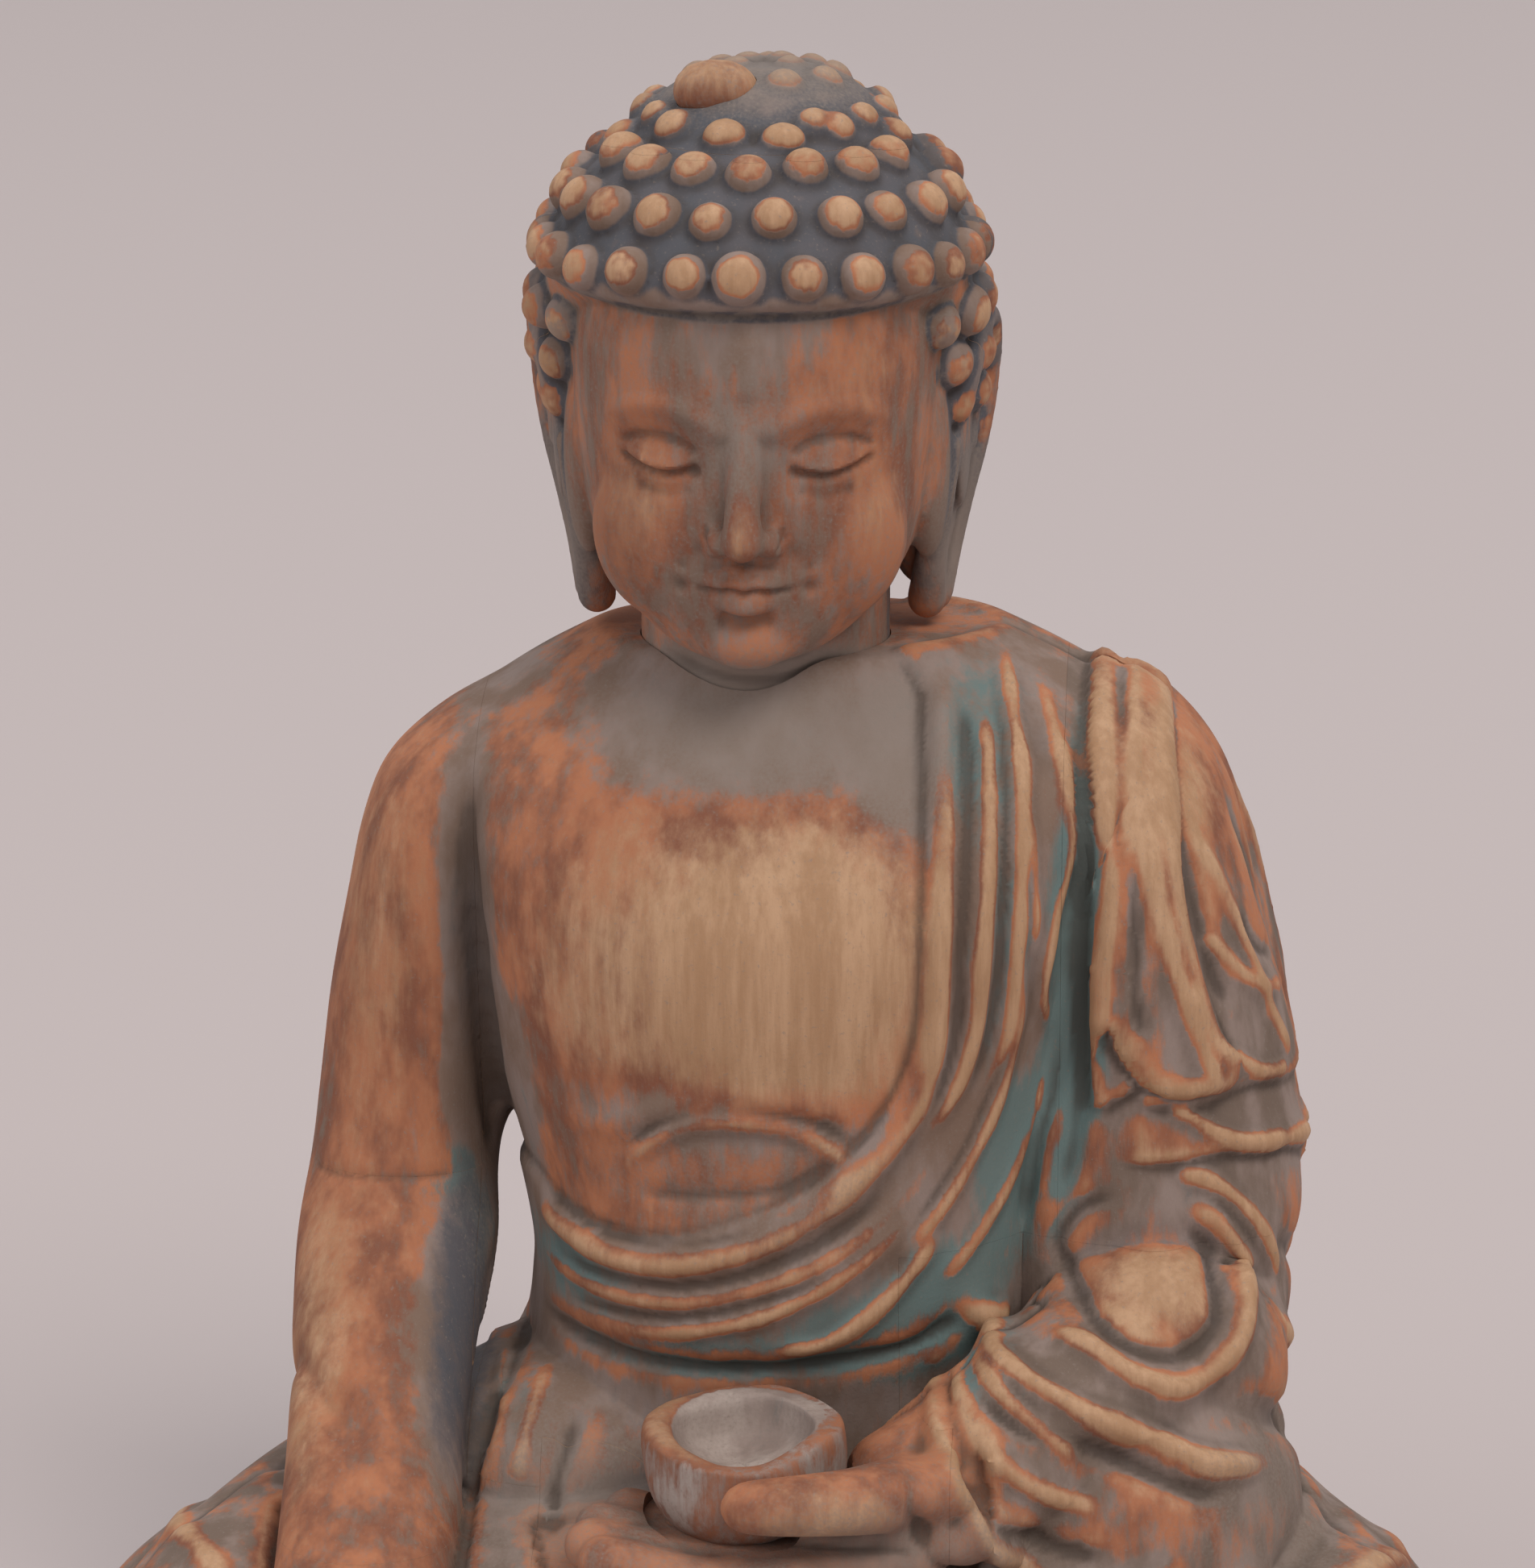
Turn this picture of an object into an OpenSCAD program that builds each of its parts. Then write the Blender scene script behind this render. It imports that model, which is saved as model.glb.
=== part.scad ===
// Seated Buddha figure in joined wood blocks. Trunk, head, arms, sleeves, hands and lap are
// separate carvings, pegged and glued on flat sawn faces. The trunk is hollowed, with a fitted
// cover at the back and a nailed board underneath.
// Millimetres, +Z up, the figure faces -Y, origin in the underside below the neck.

/* [Figure] */
// Height from the underside to the top of the topknot
figure_h = 300; // [250:5:360]
// Breadth across both knees
knee_span = 242; // [202:2:290]
// Depth from the shins to the back of the hips
figure_d = 136; // [114:2:162]
// Breadth of the head over the hair
head_w = 75; // [63:1:90]

/* [Blocks] */
// Half breadth of the trunk between the two arm blocks
trunk_half = 49; // [41:1:52]
// Distance of the lap block's glued face in front of the neck
lap_face = 22; // [20:1:24]
// Height of the joint in the right arm
elbow_z = 110; // [104:1:114]
// Height of the joint between the left upper and lower sleeve
sleeve_z = 105; // [101:1:110]
// Distance of the cut between face block and back of the head, in front of the ears
face_cut = 9; // [7:1:12]

/* [Hollow] */
// Breadth of the chamber in the trunk
chamber_w = 40; // [33:1:48]
// Height of the top of the chamber
chamber_top = 148; // [138:1:156]
// Breadth of the fitted back cover
cover_w = 32; // [26:1:38]
// Height of the back cover
cover_h = 66; // [50:2:72]
// Gap all round the back cover
cover_gap = 0.3; // [0.2:0.1:0.6]
// Thickness of the board under the trunk
board_t = 5; // [4:0.5:7]

/* [Joinery] */
// Diameter of the large pegs
peg_d = 6; // [5:0.2:7.2]
// Length of the large pegs
peg_l = 24; // [18:1:29]
// Diameter of the small pegs
pin_d = 3; // [2:0.5:3.5]
// Length of the small pegs
pin_l = 12; // [9:1:13]
// Radial gap around the pegs, the neck and the nails
peg_gap = 0.05; // [0.02:0.01:0.1]
// Radius of the neck where it plugs into the shoulders
neck_r = 22; // [20:0.5:24]
// Thickness of the iron staples across the trunk's seam
staple_t = 1.8; // [1.4:0.1:2.4]
// Shank diameter of the board nails
nail_d = 1.8; // [1.4:0.1:2.4]
// Length of the board nails
nail_l = 16; // [12:1:18]

/* [Bowl] */
// Outer radius of the alms bowl at its rim
bowl_r = 18; // [15:0.5:21.5]
// Height of the alms bowl
bowl_h = 17; // [15:1:19]
// Wall of the alms bowl
bowl_wall = 3; // [2:0.5:4]

/* [Hidden] */

// Stations and seats are written for a figure 300 high, 242 across the knees and 136 deep.
kx = knee_span / 242;
ky = figure_d / 136;
kz = figure_h / 300;
kh = head_w / 75;
far = 400;          // half size of a sawing box, larger than any figure
over = 1;           // how far a cut runs past the face it leaves
round_fn = 48;

// ---- seats, where one block rests on another ----

trunk_seam_y = 6 * ky;
right_face_x = -trunk_half * kx;
left_face_x = (trunk_half + 1) * kx;
lap_y = -lap_face * ky;
lap_top = 64 * kz;
lap_seat_z = 50 * kz;
inner_sleeve_x = 24 * kx;
hand_joint_x = 34 * kx;
hand_back_y = -45 * ky;
palm_floor_z = 56 * kz;
palm_z = 66 * kz;
elbow = elbow_z * kz;
sleeve_cut = sleeve_z * kz;
wrist_z = 58 * kz;
right_hand_x = [-80 * kx, -50 * kx];
right_hand_y = -70 * ky;
face_y = -face_cut * ky;
neck_at = [-1 * kx, -5 * ky];
neck_floor_z = 184 * kz;
neck_room_z = 200 * kz;
neck_room_x = 36 * max(kx, kh);
topknot_z = 286 * kz;
jewel_at = [-9 * kx, -6 * ky, 291.5 * kz];      // middle of its flat seat
jewel_r = 4.5;
jewel_half = 7;
jewel_top = 8.3;

// ---- hollow, cover and board ----

hollow_x = 1;                   // the chamber stands a little to the left of the neck
chamber_front = -15 * ky;
chamber_back = 24 * ky;
cover_z = 70 * kz;
board_rest = 11;                // how far the board reaches past the chamber's sides
board_half = chamber_w / 2 + board_rest;
board_front = chamber_front - 3;
board_back = chamber_back + 7;
board_gap = 0.3;

// ---- pegs: one row is [x, y, z, axis] at the joint ----

bowl_room = 0.5;                // the bowl stands this far in front of the belly
bowl_at = [0, hand_back_y - bowl_r - bowl_room];

wall_x = (chamber_w / 2 / kx + trunk_half) / 2;     // middle of the trunk's side walls
large_list = [
    [-wall_x, 6, 40, "y"], [wall_x, 6, 40, "y"], [-wall_x, 6, 134, "y"], [wall_x, 6, 134, "y"],
    [-trunk_half, -5, 172, "x"], [-trunk_half, -5, 150, "x"],
    [trunk_half + 1, -5, 172, "x"], [trunk_half + 1, -5, 150, "x"],
    [-64, -10, elbow_z, "z"], [68, -12, sleeve_z, "z"],
    [-wall_x, -lap_face, 20, "y"], [wall_x, -lap_face, 20, "y"], [-80, -lap_face, 20, "y"], [80, -lap_face, 20, "y"],
    [-trunk_half, 14, 20, "x"], [trunk_half + 1, 14, 20, "x"]];
small_list = [
    [-64, -57, 58, "z"], [34, -56, 61, "x"], [0, bowl_at[1] / ky, 66, "z"],
    [-20, -face_cut, 250, "y"], [16, -face_cut, 250, "y"], [-2, -face_cut, 274, "y"],
    [-2, 8, 286, "z"], [-9, -6, 291.5, "z"]];

staple_list = [[-1, 30], [-1, 116], [1, 30], [1, 116]];     // [side of the chamber, height]
staple_span = 22;
staple_leg = 8;
nail_x = chamber_w / 2 + board_rest / 2;
nail_list = [[-nail_x, -8], [nail_x, -8], [-nail_x, 25], [nail_x, 25]];     // [from the chamber's middle, y]
nail_sink = 0.6;
nail_head = 1.2;

// ---- carvings ----

// Smooth interpolation through a list of stations, k steps to each gap.
function blend4(a, b, c, d, t) = 0.5 * ((2 * b) + (c - a) * t
    + (2 * a - 5 * b + 4 * c - d) * t * t + (3 * b - a - 3 * c + d) * t * t * t);
function smooth(s, k) = [for (i = [0:len(s) - 2]) for (j = [0:k - 1])
    blend4(s[max(i - 1, 0)], s[i], s[i + 1], s[min(i + 2, len(s) - 1)], j / k), s[len(s) - 1]];

// One ring of a carving. A station is [z, left, right, front, back, y of the widest place, squareness].
function power(v, e) = sign(v) * pow(abs(v), 2 / e);
function ring(s, n, sx) = [for (i = [0:n - 1]) let (a = 360 * (i + 0.5) / n, c = cos(a), q = sin(a))
    [sx * ((s[1] + s[2]) / 2 + (s[2] - s[1]) / 2 * power(c, s[6])),
     ky * (s[5] + (q < 0 ? s[5] - s[3] : s[4] - s[5]) * power(q, s[6])), kz * s[0]]];

module carving(stations, n, k, sx) {
    rings = [for (s = smooth(stations, k)) ring(s, n, sx)];
    m = len(rings);
    sides = [for (r = [0:m - 2]) for (j = [0:n - 1]) let (a = r * n + j, b = r * n + (j + 1) % n)
        each [[a, a + n, b + n], [a, b + n, b]]];
    polyhedron([for (r = rings) each r],
        concat([[for (i = [0:n - 1]) i]], sides, [[for (i = [n - 1:-1:0]) (m - 1) * n + i]]), 4);
}

module trunk_mass() carving([
    [0, -60, 60, -44, 44, 2, 3], [28, -60, 60, -46, 47, 4, 3], [58, -52, 54, -45, 44, 4, 2.6],
    [85, -41, 48, -44, 38, 1, 2.4], [105, -43, 52, -45, 36, 0, 2.4], [128, -49, 54, -46, 36, 0, 2.4],
    [150, -53, 57, -47, 38, 1, 2.5], [168, -57, 64, -43, 38, 3, 2.6], [182, -58, 68, -36, 36, 4, 2.5],
    [191, -49, 61, -29, 33, 5, 2.3], [199, -36, 48, -24, 28, 5, 2.2], [206, -25, 33, -17, 23, 5, 2]],
    32, 2, kx);

module lap_mass() carving([
    [0, -117, 118, -84, 32, -36, 2.3], [12, -121, 121, -88, 34, -36, 2.3],
    [28, -119, 121, -88, 34, -34, 2.3], [41, -107, 114, -83, 31, -32, 2.2],
    [51, -92, 101, -74, 27, -28, 2.2], [59, -72, 84, -62, 20, -24, 2.2],
    [64, -50, 60, -48, 10, -20, 2.2]], 40, 2, kx);

module right_arm_mass() carving([
    [56, -80, -50, -72, -42, -57, 2.4], [68, -79, -50, -60, -29, -44, 2.4],
    [82, -80.5, -49, -46, -14, -30, 2.3], [96, -81, -49, -33, 0, -16, 2.3],
    [110, -79.5, -48, -23, 10, -6, 2.3], [118, -78.5, -44, -22, 12, -5, 2.4], [128, -77.5, -38, -22, 13, -4, 2.5],
    [150, -74, -34, -22, 17, -2, 2.5], [166, -70.5, -32, -22, 19, 0, 2.5],
    [178, -66.5, -32, -20, 20, 1, 2.4], [186, -60, -32, -15, 17, 2, 2.3],
    [191, -52, -32, -9, 12, 3, 2.2]], 24, 2, kx);

module right_hand_mass() carving([
    [8, -79, -51, -90, -62, -76, 2.6], [16, -81, -49, -94, -62, -78, 2.8],
    [30, -82, -48, -94, -60, -76, 3], [44, -82, -48, -89, -50, -70, 3], [52, -81, -49, -81, -44, -63, 2.8],
    [60, -80, -50, -71, -41, -56, 2.4]], 24, 2, kx);

module left_sleeve_mass() carving([
    [46, 20, 100, -76, 6, -34, 2.6], [58, 18, 93, -76, 8, -34, 2.6], [70, 18, 87, -70, 10, -30, 2.5],
    [82, 18, 86, -61, 12, -24, 2.4], [94, 20, 90, -49, 15, -18, 2.4], [106, 28, 91, -37, 18, -10, 2.4],
    [116, 32, 90.5, -32, 19, -6, 2.5], [132, 34, 86.5, -31, 21, -4, 2.5], [150, 34, 82, -29, 23, -2, 2.5],
    [168, 34, 76.5, -26, 23, 0, 2.4], [182, 34, 71, -19, 21, 2, 2.3], [191, 34, 61, -10, 16, 4, 2.2]],
    28, 2, kx);

module left_hand_mass() carving([
    [54, -20, 40, -78, -36, -60, 2.8], [60, -24, 42, -84, -38, -62, 2.8],
    [66, -23, 41, -84, -38, -62, 2.8], [70, -18, 36, -80, -42, -62, 2.6]], 24, 2, kx);

module head_mass() carving([
    [201, -18, 14, -42, 8, -16, 2.2], [206, -25, 21, -46, 20, -14, 2.2], [215, -31, 27, -47.5, 31, -10, 2.3],
    [230, -35, 31, -47, 39, -4, 2.3], [246, -38, 34, -46, 42, 0, 2.3], [259, -39.5, 35.5, -45, 43, 0, 2.2],
    [270, -37.5, 33.5, -40, 40, 1, 2.2], [279, -33, 29.5, -33, 36, 2, 2.1], [287, -26, 23, -23, 30, 4, 2.1],
    [294, -18, 15, -13, 22, 5, 2], [298, -11, 8, -5, 16, 6, 2], [300, -6, 4, 0, 11, 6, 2]], 32, 2, kh);

// A long-lobed ear; side is -1 for the right one.
module ear_mass(side) carving([for (o = [[202.5, 29.5, 2, 3], [208, 30, 4.2, 5], [220, 32, 4.6, 5.5],
        [234, 34, 4.8, 7], [248, 36, 4.8, 9], [258, 36, 3, 6]])
    [o[0], side * o[1] - 2 - o[2], side * o[1] - 2 + o[2], 3 - o[3], 3 + o[3], 3, 2]], 12, 2, kh);

// ---- saws ----

module in_front_of(y) translate([-far, y - 2 * far, -far]) cube(2 * far);
module behind(y) translate([-far, y, -far]) cube(2 * far);
module above(z) translate([-far, -far, z]) cube(2 * far);
module below(z) translate([-far, -far, z - 2 * far]) cube(2 * far);
module left_of(x) translate([x - 2 * far, -far, -far]) cube(2 * far);
module right_of(x) translate([x, -far, -far]) cube(2 * far);
module block(lo, hi) translate(lo) cube(hi - lo);

// ---- joinery ----

function at(p) = [p[0] * kx, p[1] * ky, p[2] * kz];

module turned(axis) rotate(axis == "x" ? [0, 90, 0] : axis == "y" ? [90, 0, 0] : [0, 0, 0]) children();

// A turned peg with chamfered ends, centred on its joint.
module peg(d, l) {
    chamfer = d / 8;
    rotate_extrude($fn = round_fn) polygon([[0, -l / 2], [d / 2 - chamfer, -l / 2], [d / 2, -l / 2 + chamfer],
        [d / 2, l / 2 - chamfer], [d / 2 - chamfer, l / 2], [0, l / 2]]);
}

module pegs(list, d, l) for (p = list) translate(at(p)) turned(p[3]) peg(d, l);

module holes(list, d, l) for (p = list) translate(at(p)) turned(p[3])
    cylinder(h = l + over, d = d + 2 * peg_gap, center = true, $fn = round_fn);

module large_holes(rows) holes([for (r = rows) large_list[r]], peg_d, peg_l);
module small_holes(rows) holes([for (r = rows) small_list[r]], pin_d, pin_l);

module neck(gap) translate([neck_at[0], neck_at[1], neck_floor_z - gap])
    cylinder(h = 28 * kz, r = neck_r + gap, $fn = 2 * round_fn);

// The head and its ears need this room above the shoulders.
module neck_room() block([-neck_room_x, -far, neck_room_z], [neck_room_x, far, far]);

module chamber() {
    block([hollow_x - chamber_w / 2, chamber_front, -over], [hollow_x + chamber_w / 2, chamber_back, chamber_top * kz]);
    board_box(0);
}

module board_box(gap) block([hollow_x - board_half + gap, board_front + gap, gap > 0 ? 0 : -over],
    [hollow_x + board_half - gap, board_back - gap, board_t]);

module cover_box(gap) block([hollow_x - cover_w / 2 + gap, chamber_back - over, cover_z + gap],
    [hollow_x + cover_w / 2 - gap, far, cover_z + cover_h - gap]);

// A forged staple: a bar on the chamber wall and two square legs driven into the wood.
module staple(side, gap) {
    t = staple_t + 2 * gap;
    for (end = [-1, 1]) translate([side * staple_leg / 2, end * (staple_span - staple_t) / 2, 0])
        cube([staple_leg + gap, t, t], center = true);
    if (gap == 0) translate([-side * staple_t / 2, 0, 0]) cube([staple_t, staple_span, staple_t], center = true);
}

module staples(gap) for (s = staple_list)
    translate([hollow_x + s[0] * chamber_w / 2, trunk_seam_y, s[1] * kz]) staple(s[0], gap);

module nails(gap) for (n = nail_list) translate([hollow_x + n[0], n[1] * ky, nail_sink]) {
    cylinder(h = nail_l + gap, d = nail_d + 2 * gap, $fn = 24);
    translate([0, 0, gap > 0 ? -nail_sink - over : 0])
        cylinder(h = nail_head + (gap > 0 ? nail_sink + over : 0), d = 2.6 * nail_d + 2 * gap, $fn = 24);
}

// ---- trunk ----

module trunk_wood() difference() {
    trunk_mass();
    left_of(right_face_x);
    right_of(left_face_x);
    neck(peg_gap);
    neck_room();
    chamber();
    large_holes([0, 1, 2, 3]);
    staples(peg_gap);
    nails(peg_gap);
}

module trunk_front() color("peru") difference() {
    trunk_wood();
    behind(trunk_seam_y);
    block([-far, -far, -far], [far, lap_y, lap_top]);
    block([inner_sleeve_x, -far, -far], [far, lap_y, sleeve_cut]);
    block([-far, -far, -far], [far, hand_back_y, palm_z + bowl_h]);
    large_holes([4, 5, 6, 7, 10, 11]);
}

module trunk_back() color("peru") difference() {
    trunk_wood();
    in_front_of(trunk_seam_y);
    cover_box(0);
    large_holes([14, 15]);
}

module back_cover() color("sienna") intersection() {
    trunk_mass();
    cover_box(cover_gap);
    behind(chamber_back);
}

module base_board() color("tan") difference() {
    board_box(board_gap);
    nails(peg_gap);
}

// ---- lap ----

module lap_block() color("olive") difference() {
    lap_mass();
    behind(lap_y);
    block([-far, -far, lap_seat_z], [-36 * kx, far, far]);
    block([inner_sleeve_x, -far, lap_seat_z], [far, far, far]);
    block([-far, -far, palm_floor_z], [far, hand_back_y, far]);
    block([right_hand_x[0], -far, -far], [right_hand_x[1], right_hand_y, far]);
    large_holes([10, 11, 12, 13]);
}

module hip_wood() difference() {
    lap_mass();
    in_front_of(lap_y);
    large_holes([12, 13, 14, 15]);
}

module right_hip_block() color("darkslategray") difference() {
    hip_wood();
    right_of(right_face_x);
}

module left_hip_block() color("darkslategray") difference() {
    hip_wood();
    left_of(left_face_x);
    above(lap_seat_z);
}

// ---- right arm ----

module right_arm_wood() difference() {
    right_arm_mass();
    right_of(right_face_x);
    below(wrist_z);
    large_holes([4, 5, 8]);
    small_holes([0]);
}

module right_upper_arm() color("burlywood") difference() {
    right_arm_wood();
    below(elbow);
}

module right_forearm() color("tan") difference() {
    right_arm_wood();
    above(elbow);
}

module right_hand() color("burlywood") difference() {
    right_hand_mass();
    above(wrist_z);
    left_of(right_hand_x[0]);
    right_of(right_hand_x[1]);
    block([-far, right_hand_y, -far], [far, far, lap_seat_z]);
    small_holes([0]);
}

// ---- left arm ----

module left_sleeve_wood() difference() {
    left_sleeve_mass();
    block([-far, lap_y, -far], [left_face_x, far, far]);
    left_of(inner_sleeve_x);
    block([-far, -far, -far], [hand_joint_x, hand_back_y, far]);
    below(lap_seat_z);
    large_holes([6, 7, 9]);
    small_holes([1]);
}

module left_upper_sleeve() color("firebrick") difference() {
    left_sleeve_wood();
    below(sleeve_cut);
    left_of(left_face_x);
}

module left_lower_sleeve() color("brown") difference() {
    left_sleeve_wood();
    above(sleeve_cut);
}

module left_hand() color("burlywood") difference() {
    union() {
        left_hand_mass();
        hull() {
            translate([30 * kx, -70 * ky, 68 * kz]) sphere(7, $fn = 20);
            translate([8 * kx, bowl_at[1] - bowl_r - 4.5, 71 * kz]) sphere(4.5, $fn = 20);
        }
    }
    right_of(hand_joint_x);
    behind(hand_back_y);
    below(palm_floor_z);
    translate([bowl_at[0], bowl_at[1], palm_z]) cylinder(h = far, r = bowl_r + peg_gap, $fn = 2 * round_fn);
    block([-far, -72 * ky, palm_z], [22 * kx, far, far]);
    small_holes([1, 2]);
}

module alms_bowl() {
    foot_r = 0.62 * bowl_r;
    floor_t = pin_l / 2 + over;
    belly_z = 0.62 * bowl_h;
    inner = bowl_r - bowl_wall;
    color("saddlebrown") difference() {
        translate([bowl_at[0], bowl_at[1], palm_z]) rotate_extrude($fn = 2 * round_fn) polygon([[0, 0], [foot_r, 0],
            [0.86 * bowl_r, 0.25 * bowl_h], [bowl_r, belly_z], [bowl_r, 0.8 * bowl_h], [0.93 * bowl_r, bowl_h],
            [0.93 * bowl_r - bowl_wall, bowl_h], [inner, 0.8 * bowl_h], [inner, belly_z],
            [0.72 * inner, floor_t], [0, floor_t]]);
        small_holes([2]);
    }
}

// ---- head ----

module head_wood() difference() {
    union() {
        head_mass();
        neck(0);
        ear_mass(-1);
        ear_mass(1);
    }
    above(topknot_z);
    small_holes([3, 4, 5, 6, 7]);
}

module head_front() color("wheat") difference() {
    head_wood();
    behind(face_y);
}

module head_back() color("peru") difference() {
    head_wood();
    in_front_of(face_y);
}

module topknot() color("sienna") difference() {
    head_mass();
    below(topknot_z);
    block([jewel_at[0] - jewel_half, -far, jewel_at[2]], [jewel_at[0] + jewel_half, jewel_at[1] + jewel_r, far]);
    small_holes([6, 7]);
}

// A bead lying across the front of the topknot, flat where it is glued.
module topknot_jewel() color("orange") difference() {
    translate([jewel_at[0], jewel_at[1], jewel_at[2] + jewel_top - jewel_r]) rotate([0, 90, 0])
        rotate_extrude($fn = round_fn) polygon([for (a = [-90:15:90]) [jewel_r * cos(a), jewel_half * sin(a)]]);
    below(jewel_at[2]);
    small_holes([7]);
}

module large_pegs() color("khaki") pegs(large_list, peg_d, peg_l);

module small_pegs() color("khaki") pegs(small_list, pin_d, pin_l);

module seam_staples() color("dimgray") staples(0);

module board_nails() color("dimgray") nails(0);

trunk_front();
trunk_back();
back_cover();
lap_block();
right_hip_block();
left_hip_block();
head_front();
head_back();
topknot();
topknot_jewel();
right_upper_arm();
right_forearm();
right_hand();
left_upper_sleeve();
left_lower_sleeve();
left_hand();
alms_bowl();
base_board();
large_pegs();
small_pegs();
seam_staples();
board_nails();
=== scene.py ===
import math
import bmesh
import bpy
import numpy as np
from mathutils import Matrix, Vector, noise
from mathutils.bvhtree import BVHTree
from mathutils.kdtree import KDTree


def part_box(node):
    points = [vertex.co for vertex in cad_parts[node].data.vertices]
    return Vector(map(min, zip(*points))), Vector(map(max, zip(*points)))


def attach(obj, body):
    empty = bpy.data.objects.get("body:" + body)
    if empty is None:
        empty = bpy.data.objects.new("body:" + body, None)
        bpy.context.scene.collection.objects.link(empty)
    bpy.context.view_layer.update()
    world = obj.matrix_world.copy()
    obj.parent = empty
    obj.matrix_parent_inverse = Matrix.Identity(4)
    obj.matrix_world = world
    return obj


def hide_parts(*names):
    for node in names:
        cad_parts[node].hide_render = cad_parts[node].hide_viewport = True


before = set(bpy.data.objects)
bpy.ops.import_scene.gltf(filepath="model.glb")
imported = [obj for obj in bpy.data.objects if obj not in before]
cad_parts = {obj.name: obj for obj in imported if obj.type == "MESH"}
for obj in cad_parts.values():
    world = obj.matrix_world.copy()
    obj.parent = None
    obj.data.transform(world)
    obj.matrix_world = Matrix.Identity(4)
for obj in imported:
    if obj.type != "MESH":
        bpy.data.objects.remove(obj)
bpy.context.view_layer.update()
mm = 0.001
print("frame loaded")


def asMesh(bm, name):
    mesh = bpy.data.meshes.new(name)
    bm.to_mesh(mesh)
    bm.free()
    return mesh


def placed(name, data):
    # a new object in the scene
    thing = bpy.data.objects.new(name, data)
    bpy.context.scene.collection.objects.link(thing)
    return thing


def readOut(items, field, width, kind=np.float32):
    # one field of a mesh's points, edges or faces, as the rows of an array
    values = np.empty(len(items) * width, kind)
    items.foreach_get(field, values)
    return values.reshape(-1, width)


def cadCorner(node, side, axis):
    # one face of a CAD block in millimetres; side 0 is low and 1 is high
    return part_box(node)[side][axis] / mm


def ease(t):
    t = np.clip(t, 0.0, 1.0)
    return t * t * (3 - 2 * t)


def bend(a, b, c, d, t):
    # the curve from b to c, with a and d as the points on either side
    return 0.5 * (2 * b + (c - a) * t + (2 * a - 5 * b + 4 * c - d) * t ** 2
                  + (3 * b - a - 3 * c + d) * t ** 3)


def smoothPath(points, steps=8):
    # a smooth curve through the points, the same rule for 2, 3 or more columns
    p = np.array(points, float)
    ends = np.vstack([2 * p[0] - p[1], p, 2 * p[-1] - p[-2]])
    rows = [bend(*ends[i:i + 4], t) for i in range(len(p) - 1) for t in np.arange(steps) / steps]
    rows.append(p[-1])
    return np.array(rows)


def closedPath(points, steps=6):
    p = np.array(points, float)
    n = len(p)
    return np.array([bend(p[i - 1], p[i], p[(i + 1) % n], p[(i + 2) % n], t)
                     for i in range(n) for t in np.arange(steps) / steps])


def growRings(bm, rings):
    # a closed skin over a row of rings: one circle, extruded ring after ring
    turn = bm.verts.layers.int.get("turn") or bm.verts.layers.int.new("turn")
    ring = bmesh.ops.create_circle(bm, cap_ends=True, radius=1, segments=len(rings[0]))["verts"]
    for i, v in enumerate(ring):
        v[turn] = i
        v.co = rings[0][i]
    edges = list({e for v in ring for e in v.link_edges})
    for places in rings[1:]:
        grown = bmesh.ops.extrude_edge_only(bm, edges=edges)["geom"]
        ring = {g for g in grown if isinstance(g, bmesh.types.BMVert)}
        for v in ring:
            v.co = places[v[turn]]
        edges = [g for g in grown if isinstance(g, bmesh.types.BMEdge)]
        edges = [g for g in edges if g.verts[0] in ring and g.verts[1] in ring]
    bmesh.ops.contextual_create(bm, geom=edges)


def addMass(bm, rows, sides=48, steps=4):
    # a row is height, left, right, front, back, y of the widest place, squareness
    turns = (np.arange(sides) + 0.5) * 2 * math.pi / sides
    c, s = np.cos(turns), np.sin(turns)
    rings = []
    for z, left, right, front, back, mid, square in smoothPath(rows, steps):
        x = (left + right) / 2 + (right - left) / 2 * np.sign(c) * np.abs(c) ** (2 / square)
        y = mid + np.where(s < 0, mid - front, back - mid) * np.sign(s) * np.abs(s) ** (2 / square)
        rings.append(np.stack([x, y, np.full(sides, z)], 1))
    growRings(bm, rings)


def addLimb(bm, points, sides=20, steps=5, flat=1.0, up=(0, 0, 1)):
    # a round limb along x, y, z, radius rows, with domed ends; flat squeezes it along up
    path = smoothPath(points, steps)
    turns = np.arange(sides) * 2 * math.pi / sides
    along = np.gradient(path[:, :3], axis=0)
    along /= np.linalg.norm(along, axis=1)[:, None]
    dome = [(1 - math.cos(a), math.sin(a)) for a in np.radians([8, 35, 62])]
    spots = [(path[0, :3] - along[0] * path[0, 3] * (1 - d), along[0], path[0, 3] * r) for d, r in dome]
    spots += [(p[:3], a, p[3]) for p, a in zip(path, along)]
    spots += [(path[-1, :3] + along[-1] * path[-1, 3] * (1 - d), along[-1], path[-1, 3] * r) for d,
              r in dome[::-1]]
    rings = []
    for place, way, radius in spots:
        side = np.cross(way, up)
        side /= np.linalg.norm(side)
        over = np.cross(side, way)
        rings.append(place + radius * (np.outer(np.cos(turns), side) + flat * np.outer(np.sin(turns),
                over)))
    growRings(bm, rings)


def addBall(bm, centre, size, tilt=(0, 0, 0)):
    place = Matrix.Translation(centre)
    for axis, angle in zip("XYZ", tilt):
        place = place @ Matrix.Rotation(math.radians(angle), 4, axis)
    bmesh.ops.create_uvsphere(bm, u_segments=32, v_segments=20, radius=1,
                              matrix=place @ Matrix.Diagonal((*size, 1)))


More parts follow.
